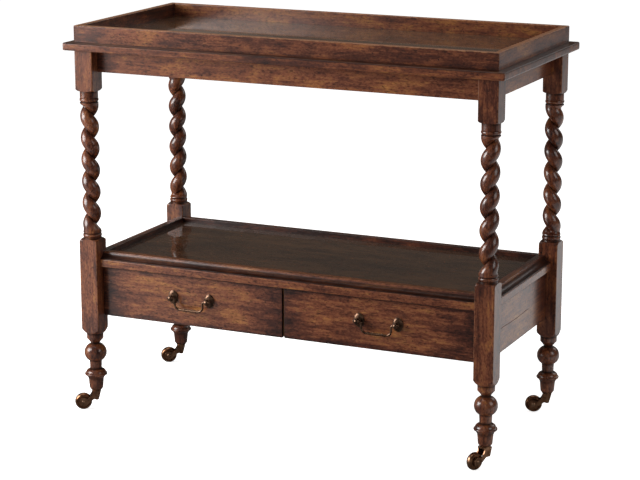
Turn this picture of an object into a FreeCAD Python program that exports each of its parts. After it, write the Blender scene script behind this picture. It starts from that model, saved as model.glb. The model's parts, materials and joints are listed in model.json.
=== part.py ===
import FreeCAD, Part
import math
import os
from FreeCAD import Vector

# Serving table: a galleried top and a lower case with two drawers, on four barley-twist posts with casters.
# Millimetres. X runs along the length with +X to the right, the front faces -Y, and the floor is z = 0.

# Frame, over the outer faces of the posts
frame_length = 967.0
frame_depth = 440.0
post_size = 43.0
stock_margin = 2.0

# Heights of a post, from the floor up
caster_height = 47.0
foot_height = 130.0
lower_block_height = 216.5
lower_collar_height = 14.0
twist_pitch = 48.0
twist_turns = 6
upper_collar_height = 25.0
upper_block_height = 90.5

# Twist: one start, round ridges and a sharp groove, left- and right-handed posts on opposite corners
ridge_radius = 20.2
groove_radius = 7.4
twist_runout = 12.0
sections_per_turn = 12
profile_steps = 8
least_depth = 0.02
post_hand = {"front_left": -1, "front_right": 1, "back_left": 1, "back_right": -1}
groove_start_deg = {"front_left": 162.0, "front_right": 46.0, "back_left": 205.0, "back_right": 336.0}

# Collars of the post, above and below the twist
neck_radius = 19.7
quirk_radius = 18.2
bead_radius = 20.7
bead_height = 8.5
quirk_height = 2.0

# Turned foot, from its end up
cup_end_radius = 12.2
cup_end_height = 4.0
cup_low_radius = 15.0
cup_radius = 16.8
cup_height = 20.5
flare_radius = 22.8
flare_middle_radius = 18.9
flare_height = 8.5
ring_radius = 24.8
ring_top_radius = 22.4
ring_height = 5.6
ring_bead_radius = 20.8
ring_bead_top_radius = 14.6
ring_bead_height = 8.4
ring_fillet = 1.0
stem_radius = 12.8
stem_top_radius = 13.6
stem_height = 19.0
ball_radius = 24.7
ball_end_radius = 14.2
ball_height = 37.2
ball_fillet = 1.5
waist_radius = 9.8
waist_height = 2.0
bell_middle_radius = 13.5
bell_radius = 18.2
bell_height = 10.3
foot_collar_radius = 18.4
foot_shoulder_height = 18.0
foot_shoulder_radius = 27.4

# Top board and gallery
top_thickness = 17.0
top_overhang = 18.5
top_round = 3.0
tray_rise = 6.0
gallery_height = 36.0
gallery_thickness = 14.0
gallery_round = 2.5
groove_depth = 3.0

# Aprons
apron_height = 49.0
apron_thickness = 18.0
apron_recess = 24.6

# Tenons of the aprons and case panels, mitred where two meet inside a post
tenon_thickness = 8.0
tenon_shoulder = 6.0
mitre_gap = 0.5

# Screws up through the aprons into the top board
top_screw_radius = 2.0
top_screw_head_radius = 4.0
top_screw_head_height = 3.0
top_screw_bite = 10.0
top_screw_counterbore = 24.0
screw_slack = 0.1
long_apron_screws = 3
short_apron_screws = 2

# Case between the lower blocks
case_rise = 42.0
case_height = 112.0
panel_thickness = 18.0
panel_recess = 25.0
divider_thickness = 18.0
drawer_rail_depth = 55.0
drawer_rail_thickness = 20.0
drawer_rail_rise = 1.0
drawer_rail_tenon = 4.5
runner_width = 20.0
centre_runner_width = 50.0

# Shelf board and its raised lip
shelf_thickness = 18.0
shelf_recess = 13.0
shelf_round = 2.0
shelf_rise = 5.0
lip_setback = 2.0
lip_height = 15.0
lip_width = 31.5
lip_edge = 1.5
lip_top_width = 15.5
lip_nosing = 2.0
lip_cove_sag = 3.7

# Drawers
front_thickness = 18.0
front_lip = 7.0
front_round = 1.5
front_top_gap = 1.5
front_side_gap = 1.5
centre_gap = 3.5
lip_gap = 0.5
runner_gap = 0.3
side_thickness = 10.0
side_top_gap = 6.7
box_back_gap = 12.0
bottom_thickness = 5.0
bottom_rise = 6.0
groove_cut = 5.0
back_inset = 10.0
back_thickness = 10.0
back_drop = 4.0
tails = 3
tail_tip_share = 0.78
tail_root_share = 0.58

# Drop pulls
pull_above_middle = 5.75
pull_centres = 88.0
rosette_width = 24.0
rosette_height = 31.0
rosette_rim = 1.2
rosette_dome = 4.0
rosette_dome_share = 0.9
rosette_dome_end_deg = 66.0
rosette_sections = 4
stud_radius = 2.0
stud_neck_radius = 3.6
stud_ball_radius = 6.8
stud_ring_radius = 1.0
stud_reach = 13.0
stud_slack = 0.2
nut_width = 8.0
nut_thickness = 4.0
stud_thread_end = 2.0
bail_radius = 2.3
bail_slack = 0.3
bail_width = 68.0
bail_drop = 23.0
bail_corner = 12.0
bail_bend = 4.0
bail_end = 1.5

# Casters
plate_radius = 11.0
plate_thickness = 2.0
plate_screws = 3
plate_screw_circle = 8.0
plate_screw_radius = 1.2
plate_screw_head_radius = 2.2
plate_screw_length = 12.0
pin_radius = 3.5
pin_head_radius = 5.0
pin_head_height = 2.0
pin_rivet_radius = 4.6
pin_rivet_height = 3.2
running_gap = 0.4
running_fit = 0.06
trail = 29.4
wheel_radius = 19.0
wheel_width = 15.0
wheel_shoulder_radius = 15.6
wheel_hub_radius = 8.0
wheel_dish = 2.0
wheel_rim = 2.4
wheel_side_gap = 0.75
cheek_thickness = 2.75
cheek_end_radius = 10.0
fork_top_length = 19.4
fork_plate = 3.2
fork_back_plate = 2.8
fork_height = 19.6
fork_tab_thickness = 3.0
fork_tab_front = 7.0
fork_tab_back = 4.5
fork_crotch_deg = 140.0
fork_heel_deg = 230.0
fork_throat_sag = 3.5
axle_radius = 2.5
axle_head_radius = 4.0
axle_head_height = 1.6
axle_head_swell = 3.6
caster_heading_deg = {"front_left": 211.0, "front_right": 244.0, "back_left": 208.6, "back_right": 197.6}

# Places that follow from the sizes
half_length = frame_length / 2
half_depth = frame_depth / 2
post_x = half_length - post_size / 2
post_y = half_depth - post_size / 2
stock_radius = post_size / math.sqrt(2) + stock_margin
corners = {"front_left": (-1, -1), "front_right": (1, -1), "back_left": (-1, 1), "back_right": (1, 1)}
side_turn_deg = {"front": 0, "right": 90, "back": 180, "left": 270}
twist_length = twist_pitch * twist_turns
foot_top = caster_height + foot_height
lower_block_top = foot_top + lower_block_height
twist_bottom = lower_block_top + lower_collar_height
twist_top = twist_bottom + twist_length
upper_block_bottom = twist_top + upper_collar_height
top_bottom = upper_block_bottom + upper_block_height
top_face = top_bottom + top_thickness
case_bottom = foot_top + case_rise
shelf_bottom = case_bottom + case_height
shelf_face = shelf_bottom + shelf_thickness
inner_x = half_length - post_size
case_inner_x = half_length - panel_recess - panel_thickness
case_inner_y = half_depth - panel_recess - panel_thickness
front_y = -half_depth + panel_recess
rail_y = front_y + front_lip + lip_gap
rail_bottom = case_bottom + drawer_rail_rise
rail_top = rail_bottom + drawer_rail_thickness
drawer_outer_x = min(inner_x, case_inner_x) - front_side_gap
front_top = shelf_bottom - front_top_gap
pull_x = (centre_gap / 2 + drawer_outer_x) / 2
pull_z = (case_bottom + front_top) / 2 + pull_above_middle
fork_top = caster_height - plate_thickness - running_gap
fork_tab_bottom = fork_top - fork_height
vertical = Vector(0, 0, 1)
origin = Vector(0, 0, 0)
slant = math.sqrt(0.5)
touch = 0.01


# Shared helpers
def box(x, y, z):
    return Part.makeBox(x[1] - x[0], y[1] - y[0], z[1] - z[0], Vector(x[0], y[0], z[0]))


def cylinder(radius, low, high):
    return Part.makeCylinder(radius, high - low, Vector(0, 0, low), vertical)


def prism(points, along):
    return Part.Face(Part.makePolygon(points + points[:1])).extrude(along)


def upright(plan, low, high):
    return prism([Vector(x, y, low) for x, y in plan], Vector(0, 0, high - low))


def turned(shape, degrees):
    copy = shape.copy()
    copy.rotate(origin, vertical, degrees)
    return copy


def shifted(shape, x, y, z=0.0):
    copy = shape.copy()
    copy.translate(Vector(x, y, z))
    return copy


def mirrored(shape):
    return shape.mirror(origin, Vector(1, 0, 0))


def rounded(shape, radius, picked):
    edges = [edge for edge in shape.Edges if picked(edge.BoundBox)]
    return shape.makeFillet(radius, edges)


# An arc whose middle stands off the straight line between its ends
def bowed(start, end, middle_offset):
    return Part.Arc(start, (start + end) * 0.5 + middle_offset, end).toShape()


# A point on a circle in the XZ plane
def round_point(centre, radius, degrees):
    angle = math.radians(degrees)
    return centre + Vector(math.cos(angle), 0, math.sin(angle)) * radius


# An outline from start up, one step after another: rise, end radius, and the radius half way up an arc
def lathe(start, steps):
    radius, height = start
    edges = []
    for rise, end_radius, middle_radius in steps:
        low = Vector(radius, 0, height)
        high = Vector(end_radius, 0, height + rise)
        if middle_radius is None:
            edges.append(Part.LineSegment(low, high).toShape())
        else:
            middle = Vector(middle_radius, 0, height + rise / 2)
            edges.append(Part.Arc(low, middle, high).toShape())
        radius, height = end_radius, height + rise
    axis_ends = [Vector(0, 0, height), Vector(0, 0, start[1])]
    closing = [Vector(radius, 0, height)] + axis_ends + [Vector(start[0], 0, start[1])]
    edges.extend(Part.makePolygon(closing).Edges)
    return Part.Face(Part.Wire(edges)).revolve(origin, vertical, 360)


# Length of the frame along a side, and its depth across that side
def spans(side):
    if side in ("front", "back"):
        return frame_length, frame_depth
    return frame_depth, frame_length


def save(name, shape):
    shape.exportStep("parts/" + name + ".step")


# Rails between two posts, with a mitred tenon at each end
def tenoned_rail(side, recess, thickness, low, high):
    length, depth = spans(side)
    end, edge = length / 2, -depth / 2
    shoulder = end - post_size
    near = recess + (thickness - tenon_thickness) / 2
    far = near + tenon_thickness
    plan = [
        (shoulder, edge + near),
        (shoulder, edge + far),
        (end - far - mitre_gap, edge + far),
        (end - near - mitre_gap, edge + near),
    ]
    tenon = upright(plan, low + tenon_shoulder, high - tenon_shoulder)
    body = box((-shoulder, shoulder), (edge + recess, edge + recess + thickness), (low, high))
    return turned(body.fuse([tenon, mirrored(tenon)]), side_turn_deg[side])


# A bar along the front edge of a frame, cut to a mitre at both ends and turned to its side
def mitred_bar(side, recess, width, bar):
    length, depth = spans(side)
    end, edge = length / 2 - recess, -depth / 2 + recess
    plan = [(-end, edge), (end, edge), (end - width, edge + width), (-end + width, edge + width)]
    low, high = bar.BoundBox.ZMin, bar.BoundBox.ZMax
    return turned(bar.common(upright(plan, low, high)), side_turn_deg[side])


def gallery_rail(side):
    length, depth = spans(side)
    low, high = top_face - groove_depth, top_face + gallery_height
    bar = box((-length / 2, length / 2), (-depth / 2, -depth / 2 + gallery_thickness), (low, high))
    bar = rounded(bar, gallery_round, lambda edge: edge.ZMin > high - touch and edge.XLength > touch)
    return mitred_bar(side, 0.0, gallery_thickness, bar)


# Lip moulding: a low edge, a hollow cove, a nosing and a flat top, with a tongue let into the shelf
def lip_rail(side):
    length, depth = spans(side)
    recess = shelf_recess + lip_setback
    start, edge = -length / 2 + recess, -depth / 2 + recess
    crown = lip_width - lip_top_width

    def at(across, height):
        return Vector(start, edge + across, shelf_face + height)

    cove_top = at(crown - lip_nosing, lip_height - lip_nosing)
    nosing_middle = at(crown - lip_nosing * slant, lip_height - lip_nosing * (1 - slant))
    flats = [
        at(crown, lip_height),
        at(lip_width, lip_height),
        at(lip_width, -groove_depth),
        at(crown, -groove_depth),
        at(crown, 0),
        at(0, 0),
        at(0, lip_edge),
    ]
    edges = Part.makePolygon(flats).Edges
    edges.append(bowed(at(0, lip_edge), cove_top, Vector(0, 0, -lip_cove_sag)))
    edges.append(Part.Arc(cove_top, nosing_middle, flats[0]).toShape())
    bar = Part.Face(Part.Wire(edges)).extrude(Vector(-2 * start, 0, 0))
    return mitred_bar(side, recess, lip_width, bar)


# A block over the middle of the frame, short of its outer faces by a recess
def field(recess, low, high):
    x, y = half_length - recess, half_depth - recess
    return box((-x, x), (-y, y), (low, high))


# Square hollow ring round the middle of the frame, for grooves
def ring_cut(recess, width, low, high):
    return field(recess, low, high).cut(field(recess + width, low, high))


def post_squares(low, high):
    half = post_size / 2
    square = box((-half, half), (-half, half), (low, high))
    return [shifted(square, sx * post_x, sy * post_y) for sx, sy in corners.values()]


# Screws through the aprons
def apron_screw_places(side):
    length, depth = spans(side)
    count = long_apron_screws if length > depth else short_apron_screws
    clear = length - 2 * post_size
    across = -depth / 2 + apron_recess + apron_thickness / 2
    return [(clear * ((i + 0.5) / count - 0.5), across) for i in range(count)]


def apron_screw(slack):
    head_low = top_bottom - apron_height + top_screw_counterbore
    head_high = head_low + top_screw_head_height
    head = cylinder(top_screw_head_radius + slack, head_low, head_high)
    shank = cylinder(top_screw_radius + slack, head_low, top_bottom + top_screw_bite)
    return head.fuse(shank)


def on_aprons(shape):
    placed = []
    for side, degrees in side_turn_deg.items():
        for x, y in apron_screw_places(side):
            placed.append(turned(shifted(shape, x, y), degrees))
    return placed


# Posts
def shoulder_step(neck, block, rising):
    reach = block - neck
    middle = neck + reach * math.sqrt(3) / 2
    return (reach, block if rising else neck, middle)


def lower_turning():
    down = shoulder_step(neck_radius, stock_radius, False)
    used = cup_end_height + cup_height + flare_height + ring_height + ring_bead_height + ring_fillet
    used += stem_height + ball_height + ball_fillet + waist_height + bell_height
    steps = [
        (cup_end_height, cup_low_radius, None),
        (cup_height, cup_radius, None),
        (flare_height, flare_radius, flare_middle_radius),
        (ring_height, ring_top_radius, ring_radius),
        (ring_bead_height, ring_bead_top_radius, ring_bead_radius),
        (ring_fillet, stem_radius, None),
        (stem_height, stem_top_radius, None),
        (0.0, ball_end_radius, None),
        (ball_height, ball_end_radius, ball_radius),
        (ball_fillet, waist_radius, None),
        (waist_height, waist_radius, None),
        (bell_height, bell_radius, bell_middle_radius),
        (foot_height - used, foot_collar_radius, None),
        (foot_shoulder_height, stock_radius, foot_shoulder_radius),
        (lower_block_height - foot_shoulder_height - down[0], stock_radius, None),
        down,
        (lower_collar_height - bead_height - quirk_height, neck_radius, None),
        (0.0, quirk_radius, None),
        (bead_height, quirk_radius, bead_radius),
        (quirk_height, quirk_radius, None),
    ]
    return lathe((cup_end_radius, caster_height), steps)


def upper_turning():
    up = shoulder_step(neck_radius, stock_radius, True)
    steps = [
        (quirk_height, quirk_radius, None),
        (bead_height, quirk_radius, bead_radius),
        (0.0, neck_radius, None),
        (upper_collar_height - quirk_height - bead_height, neck_radius, None),
        up,
        (upper_block_height - up[0], stock_radius, None),
    ]
    return lathe((quirk_radius, twist_top), steps)


# Radius of the twist at an angle from its groove: an arc from groove to groove over one pitch
def twist_radius(angle, depth):
    half_pitch = twist_pitch / 2
    relief = ridge_radius - groove_radius
    arc = (half_pitch ** 2 + relief ** 2) / (2 * relief)
    off = half_pitch * (angle / math.pi - 1)
    return ridge_radius - depth * (arc - math.sqrt(arc ** 2 - off ** 2))


def twist_section(height, groove_angle, depth):
    halves = []
    for half in (0, 1):
        points = []
        for i in range(profile_steps + 1):
            angle = math.pi * (half + i / profile_steps)
            radius = twist_radius(angle, depth)
            turn = groove_angle + angle
            points.append(Vector(radius * math.cos(turn), radius * math.sin(turn), height))
        curve = Part.BSplineCurve()
        curve.interpolate(points)
        halves.append(curve.toShape())
    return Part.Wire(halves)


def twist(hand, start_deg):
    count = sections_per_turn * twist_turns
    wires = []
    for i in range(count + 1):
        along = twist_length * i / count
        run = min(1.0, min(along, twist_length - along) / twist_runout)
        depth = max(least_depth, run * run * (3 - 2 * run))
        angle = math.radians(start_deg) + hand * 2 * math.pi * along / twist_pitch
        wires.append(twist_section(twist_bottom + along, angle, depth))
    return Part.makeLoft(wires, True)


def post(corner, joined):
    sx, sy = corners[corner]
    half = post_size / 2
    square = box((-half, half), (-half, half), (caster_height - stock_margin, top_bottom + stock_margin))
    square = square.fuse(cylinder(ring_radius + stock_margin, caster_height - stock_margin, foot_top))
    ends = [lower_turning().common(square), upper_turning().common(square)]
    body = ends[0].fuse([ends[1], twist(post_hand[corner], groove_start_deg[corner])])
    body = body.cut([caster_recess()] + caster_screws(running_fit))
    return shifted(body, sx * post_x, sy * post_y).cut(joined)


# Casters, each made at the origin with its wheel trailing along +X
def caster_screws(slack):
    low, high = caster_height - plate_thickness, caster_height
    head = Part.makeCone(plate_screw_head_radius + slack, plate_screw_radius + slack, plate_thickness)
    shank = cylinder(plate_screw_radius + slack, low, high + plate_screw_length)
    screw = shifted(shifted(head, 0, 0, low).fuse(shank), plate_screw_circle, 0)
    return [turned(screw, 360.0 * i / plate_screws) for i in range(plate_screws)]


def caster_recess():
    depth = pin_head_height + running_gap
    return cylinder(pin_head_radius + running_gap, caster_height, caster_height + depth)


def caster_plate():
    plate = cylinder(plate_radius, caster_height - plate_thickness, caster_height)
    return plate.cut([cylinder(pin_radius + running_fit, 0, caster_height)] + caster_screws(running_fit))


def king_pin():
    rivet_top = fork_tab_bottom - running_gap
    rivet_low = rivet_top - pin_rivet_height
    rivet = lathe((pin_radius, rivet_low), [(pin_rivet_height, pin_rivet_radius, pin_rivet_radius)])
    shank = cylinder(pin_radius, rivet_low, caster_height)
    head = cylinder(pin_head_radius, caster_height, caster_height + pin_head_height)
    return shank.fuse([rivet, head])


def fork():
    half_top = fork_top_length / 2
    hub = Vector(trail, 0, wheel_radius)
    crotch = round_point(hub, cheek_end_radius, fork_crotch_deg)
    heel = round_point(hub, cheek_end_radius, fork_heel_deg)
    brow = Vector(half_top, 0, fork_top)
    throat_offset = Vector(-slant, 0, -slant) * fork_throat_sag
    flats = [
        heel,
        Vector(fork_tab_front, 0, fork_tab_bottom),
        Vector(-fork_tab_back, 0, fork_tab_bottom),
        Vector(-half_top, 0, fork_top),
        brow,
    ]
    edges = Part.makePolygon(flats).Edges
    edges.append(bowed(brow, crotch, throat_offset))
    edges.append(Part.Arc(crotch, hub + Vector(cheek_end_radius, 0, 0), heel).toShape())
    width = wheel_width + 2 * (wheel_side_gap + cheek_thickness)
    slot_width = wheel_width + 2 * wheel_side_gap
    body = Part.Face(Part.Wire(edges)).extrude(Vector(0, width, 0))
    lean = (half_top - fork_tab_back) / fork_height
    tab_top = fork_tab_bottom + fork_tab_thickness
    back_low = -fork_tab_back - lean * fork_tab_thickness + fork_back_plate
    back_high = -half_top + lean * fork_plate + fork_back_plate
    far = trail + wheel_radius
    slot = [
        Vector(back_high, 0, fork_top - fork_plate),
        Vector(far, 0, fork_top - fork_plate),
        Vector(far, 0, 0),
        Vector(fork_tab_front, 0, 0),
        Vector(fork_tab_front, 0, tab_top),
        Vector(back_low, 0, tab_top),
    ]
    hollow = shifted(prism(slot, Vector(0, slot_width, 0)), 0, -slot_width / 2)
    bore = cylinder(pin_radius + running_fit, 0, caster_height)
    return shifted(body, 0, -width / 2).cut([hollow, bore, axle_bar(axle_radius + running_fit, width)])


def axle_bar(radius, width):
    return Part.makeCylinder(radius, width, Vector(trail, -width / 2, wheel_radius), Vector(0, 1, 0))


# A solid turned about +Z, laid along +Y through the axle
def on_axle(shape):
    copy = shape.copy()
    copy.rotate(origin, Vector(1, 0, 0), -90)
    return shifted(copy, trail, 0, wheel_radius)


def axle():
    half = wheel_width / 2 + wheel_side_gap + cheek_thickness
    steps = [
        (axle_head_height, axle_head_radius, axle_head_swell),
        (0.0, axle_radius, None),
        (2 * half, axle_radius, None),
        (0.0, axle_head_radius, None),
        (axle_head_height, axle_radius, axle_head_swell),
    ]
    return on_axle(lathe((axle_radius, -half - axle_head_height), steps))


def wheel():
    half = wheel_width / 2
    rim_inner = wheel_shoulder_radius - wheel_rim
    steps = [
        (0.0, rim_inner, None),
        (0.0, wheel_shoulder_radius, None),
        (wheel_width, wheel_shoulder_radius, wheel_radius),
    ]
    body = lathe((wheel_hub_radius, -half), steps)
    dish = cylinder(rim_inner, 0, wheel_dish).cut(cylinder(wheel_hub_radius, 0, wheel_dish))
    bore = cylinder(axle_radius + running_fit, -half, half)
    body = body.cut([shifted(dish, 0, 0, -half), shifted(dish, 0, 0, half - wheel_dish), bore])
    return on_axle(body)


def under_post(shape, corner):
    sx, sy = corners[corner]
    return shifted(shape, sx * post_x, sy * post_y)


def swivelled(shape, corner):
    return under_post(turned(shape, caster_heading_deg[corner]), corner)


# Boards
def top_board():
    x, y = half_length + top_overhang, half_depth + top_overhang
    board = box((-x, x), (-y, y), (top_bottom, top_face))
    board = rounded(board, top_round, lambda edge: True)
    board = board.fuse(field(gallery_thickness, top_face - groove_depth, top_face + tray_rise))
    groove = ring_cut(0.0, gallery_thickness, top_face - groove_depth, top_face)
    return board.cut([groove] + on_aprons(apron_screw(screw_slack)))


def shelf_board():
    x, y = half_length - shelf_recess, half_depth - shelf_recess
    board = box((-x, x), (-y, y), (shelf_bottom, shelf_face))
    board = rounded(board, shelf_round, lambda edge: edge.ZLength < touch)
    inner = shelf_recess + lip_setback + lip_width
    board = board.fuse(field(inner, shelf_face - groove_depth, shelf_face + shelf_rise))
    groove = ring_cut(inner - lip_top_width, lip_top_width, shelf_face - groove_depth, shelf_face)
    return board.cut([groove] + post_squares(shelf_bottom, shelf_face))


def apron(side):
    rail = tenoned_rail(side, apron_recess, apron_thickness, top_bottom - apron_height, top_bottom)
    counterbore = cylinder(top_screw_head_radius + screw_slack, top_bottom - apron_height,
                           top_bottom - apron_height + top_screw_counterbore)
    return rail.cut(on_aprons(apron_screw(screw_slack)) + on_aprons(counterbore))


def case_panel(side):
    return tenoned_rail(side, panel_recess, panel_thickness, case_bottom, shelf_bottom)


def drawer_rail():
    body = box((-inner_x, inner_x), (rail_y, rail_y + drawer_rail_depth), (rail_bottom, rail_top))
    inner_face = -half_depth + post_size
    third = drawer_rail_thickness / 3
    tenon_x = (inner_x, inner_x + drawer_rail_tenon)
    tenon = box(tenon_x, (rail_y, inner_face), (rail_bottom + third, rail_top - third))
    return body.fuse([tenon, mirrored(tenon)]).cut([case_panel("left"), case_panel("right")])


def runner(low_x, high_x):
    bar = box((low_x, high_x), (rail_y + drawer_rail_depth, case_inner_y), (rail_bottom, rail_top))
    return bar.cut(post_squares(rail_bottom, rail_top))


def divider():
    half = divider_thickness / 2
    return box((-half, half), (rail_y, case_inner_y), (rail_top, shelf_bottom))


# The right-hand drawer, as a dictionary of its pieces
def drawer():
    low_x, high_x = centre_gap / 2, drawer_outer_x
    box_low_x = divider_thickness / 2 + front_side_gap
    back_y = front_y + front_thickness
    end_y = case_inner_y - box_back_gap
    box_bottom = rail_top + runner_gap
    box_top = shelf_bottom - side_top_gap
    front = box((low_x, high_x), (front_y, back_y), (case_bottom, front_top))
    front = rounded(front, front_round, lambda edge: edge.YMax < front_y + touch)
    rebates = [
        box((low_x, box_low_x), (front_y + front_lip, back_y), (case_bottom, front_top)),
        box((low_x, high_x), (front_y + front_lip, back_y), (case_bottom, box_bottom)),
    ]

    def side(outer_x, inner_side_x):
        x = (min(outer_x, inner_side_x), max(outer_x, inner_side_x))
        body = box(x, (back_y, end_y), (box_bottom, box_top))
        pitch = (box_top - box_bottom) / tails
        for i in range(tails):
            middle = box_bottom + pitch * (i + 0.5)
            tip, root = pitch * tail_tip_share / 2, pitch * tail_root_share / 2
            outline = [
                Vector(x[0], front_y + front_lip, middle - tip),
                Vector(x[0], front_y + front_lip, middle + tip),
                Vector(x[0], back_y, middle + root),
                Vector(x[0], back_y, middle - root),
            ]
            body = body.fuse(prism(outline, Vector(x[1] - x[0], 0, 0)))
        return body

    inside = (box_low_x + side_thickness, high_x - side_thickness)
    housed = (inside[0] - groove_cut, inside[1] + groove_cut)
    bottom_low = box_bottom + bottom_rise
    bottom_high = bottom_low + bottom_thickness
    bottom = box(housed, (back_y - groove_cut, end_y - back_inset), (bottom_low, bottom_high))
    back_high_y = end_y - back_inset
    back = box(housed, (back_high_y - back_thickness, back_high_y), (bottom_high, box_top - back_drop))
    outer = side(high_x, inside[1])
    inner = side(box_low_x, inside[0])
    return {
        "front": front.cut(rebates + [outer, inner, bottom] + stud_holes()),
        "outer_side": outer.cut([bottom, back]),
        "inner_side": inner.cut([bottom, back]),
        "back": back,
        "bottom": bottom,
    }


# Drop pull, made at the origin with the drawer front at y = 0 and the pivot of the bail at z = 0
def along_front(shape):
    copy = shape.copy()
    copy.rotate(origin, Vector(1, 0, 0), 90)
    return copy


def stud():
    neck_end = stud_reach - math.sqrt(stud_ball_radius ** 2 - stud_neck_radius ** 2)
    tail = front_thickness + nut_thickness + stud_thread_end
    body = cylinder(stud_radius, -tail, rosette_dome)
    body = body.fuse(cylinder(stud_neck_radius, rosette_dome, neck_end))
    body = body.fuse(Part.makeSphere(stud_ball_radius, Vector(0, 0, stud_reach)))
    ring = Part.makeTorus(stud_neck_radius, stud_ring_radius, Vector(0, 0, rosette_dome + stud_ring_radius))
    hole_start = Vector(-stud_ball_radius, 0, stud_reach)
    hole = Part.makeCylinder(bail_radius + bail_slack, 2 * stud_ball_radius, hole_start, Vector(1, 0, 0))
    return along_front(body.fuse(ring).cut(hole))


def rosette():
    def oval(share, height):
        ellipse = Part.Ellipse(origin, share * rosette_height / 2, share * rosette_width / 2)
        wire = Part.Wire(ellipse.toShape())
        wire.rotate(origin, vertical, 90)
        wire.translate(Vector(0, 0, height))
        return wire

    end = math.radians(rosette_dome_end_deg)
    rise = (rosette_dome - rosette_rim) / math.sin(end)
    angles = [end * i / (rosette_sections - 1) for i in range(rosette_sections)]
    rim = Part.makeLoft([oval(1.0, 0), oval(1.0, rosette_rim)], True, True)
    rings = [oval(rosette_dome_share * math.cos(a), rosette_rim + rise * math.sin(a)) for a in angles]
    body = rim.fuse(Part.makeLoft(rings, True))
    return along_front(body.cut(cylinder(stud_radius + stud_slack, 0, rosette_dome)))


def nut():
    corner = nut_width / math.sqrt(3)
    plan = [(corner * math.cos(i * math.pi / 3), corner * math.sin(i * math.pi / 3)) for i in range(6)]
    low = -front_thickness - nut_thickness
    body = upright(plan, low, -front_thickness)
    return along_front(body.cut(cylinder(stud_radius + running_fit, low, -front_thickness)))


def bail():
    half = bail_width / 2
    tip = pull_centres / 2 + stud_ball_radius + bail_end
    corner = half - bail_corner

    def at(x, z):
        return Vector(x, -stud_reach, z)

    def arm(side):
        inner_bend = at(side * (half + bail_bend * (1 - slant)), -bail_bend * (1 - slant))
        outer_bend = at(side * (corner + bail_corner * slant), -bail_drop + bail_corner * (1 - slant))
        straight = [at(side * tip, 0), at(side * (half + bail_bend), 0)]
        upright_run = [at(side * half, -bail_bend), at(side * half, -bail_drop + bail_corner)]
        low = at(side * corner, -bail_drop)
        return [
            Part.LineSegment(*straight).toShape(),
            Part.Arc(straight[1], inner_bend, upright_run[0]).toShape(),
            Part.LineSegment(*upright_run).toShape(),
            Part.Arc(upright_run[1], outer_bend, low).toShape(),
        ]

    grip = Part.LineSegment(at(-corner, -bail_drop), at(corner, -bail_drop)).toShape()
    path = Part.Wire(Part.__sortEdges__(arm(-1) + [grip] + arm(1)))
    ring = Part.Wire(Part.makeCircle(bail_radius, at(-tip, 0), Vector(1, 0, 0)))
    return path.makePipeShell([ring], True, False)


def on_pull(shape, centre_x):
    return shifted(shape, centre_x, front_y, pull_z)


def on_studs(shape, centre_x):
    return [on_pull(shape, centre_x + side * pull_centres / 2) for side in (-1, 1)]


def stud_holes():
    hole = Part.makeCylinder(stud_radius + stud_slack, front_thickness, origin, Vector(0, 1, 0))
    return on_studs(hole, pull_x)


# Frame of the table
case_panels = {"end_panel_left": case_panel("left"), "end_panel_right": case_panel("right")}
case_panels["case_back"] = case_panel("back")
aprons = {"apron_" + side: apron(side) for side in side_turn_deg}
rail = drawer_rail()
joined = list(case_panels.values()) + list(aprons.values()) + [rail]
for corner in corners:
    save("post_" + corner, post(corner, joined))
for name, shape in list(aprons.items()) + list(case_panels.items()):
    save(name, shape)
save("drawer_rail", rail)
save("drawer_divider", divider())
save("runner_left", runner(-case_inner_x, -case_inner_x + runner_width))
save("runner_centre", runner(-centre_runner_width / 2, centre_runner_width / 2))
save("runner_right", runner(case_inner_x - runner_width, case_inner_x))
save("shelf_board", shelf_board())
save("top_board", top_board())
save("top_screws", Part.makeCompound(on_aprons(apron_screw(0.0))))
posts_clear = post_squares(shelf_face - groove_depth, shelf_face + lip_height)
for side in side_turn_deg:
    save("gallery_" + side, gallery_rail(side))
    save("lip_" + side, lip_rail(side).cut(posts_clear))

# Drawers and their pulls
pieces = drawer()
for hand, sign in (("left", -1), ("right", 1)):
    for name, shape in pieces.items():
        save("drawer_" + hand + "_" + name, shape if sign > 0 else mirrored(shape))
    save("pull_studs_" + hand, Part.makeCompound(on_studs(stud(), sign * pull_x)))
    save("pull_rosettes_" + hand, Part.makeCompound(on_studs(rosette(), sign * pull_x)))
    save("pull_nuts_" + hand, Part.makeCompound(on_studs(nut(), sign * pull_x)))
    save("bail_" + hand, on_pull(bail(), sign * pull_x))

# Casters
screws = []
for corner in corners:
    screws.extend(under_post(screw, corner) for screw in caster_screws(0.0))
    save("caster_fork_" + corner, swivelled(fork(), corner))
    save("caster_axle_" + corner, swivelled(axle(), corner))
    save("caster_wheel_" + corner, swivelled(wheel(), corner))
save("caster_plates", Part.makeCompound([under_post(caster_plate(), corner) for corner in corners]))
save("caster_king_pins", Part.makeCompound([under_post(king_pin(), corner) for corner in corners]))
save("caster_screws", Part.makeCompound(screws))
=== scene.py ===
import bmesh
import bpy
import json
import math
from mathutils import Matrix, Vector, noise


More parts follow.
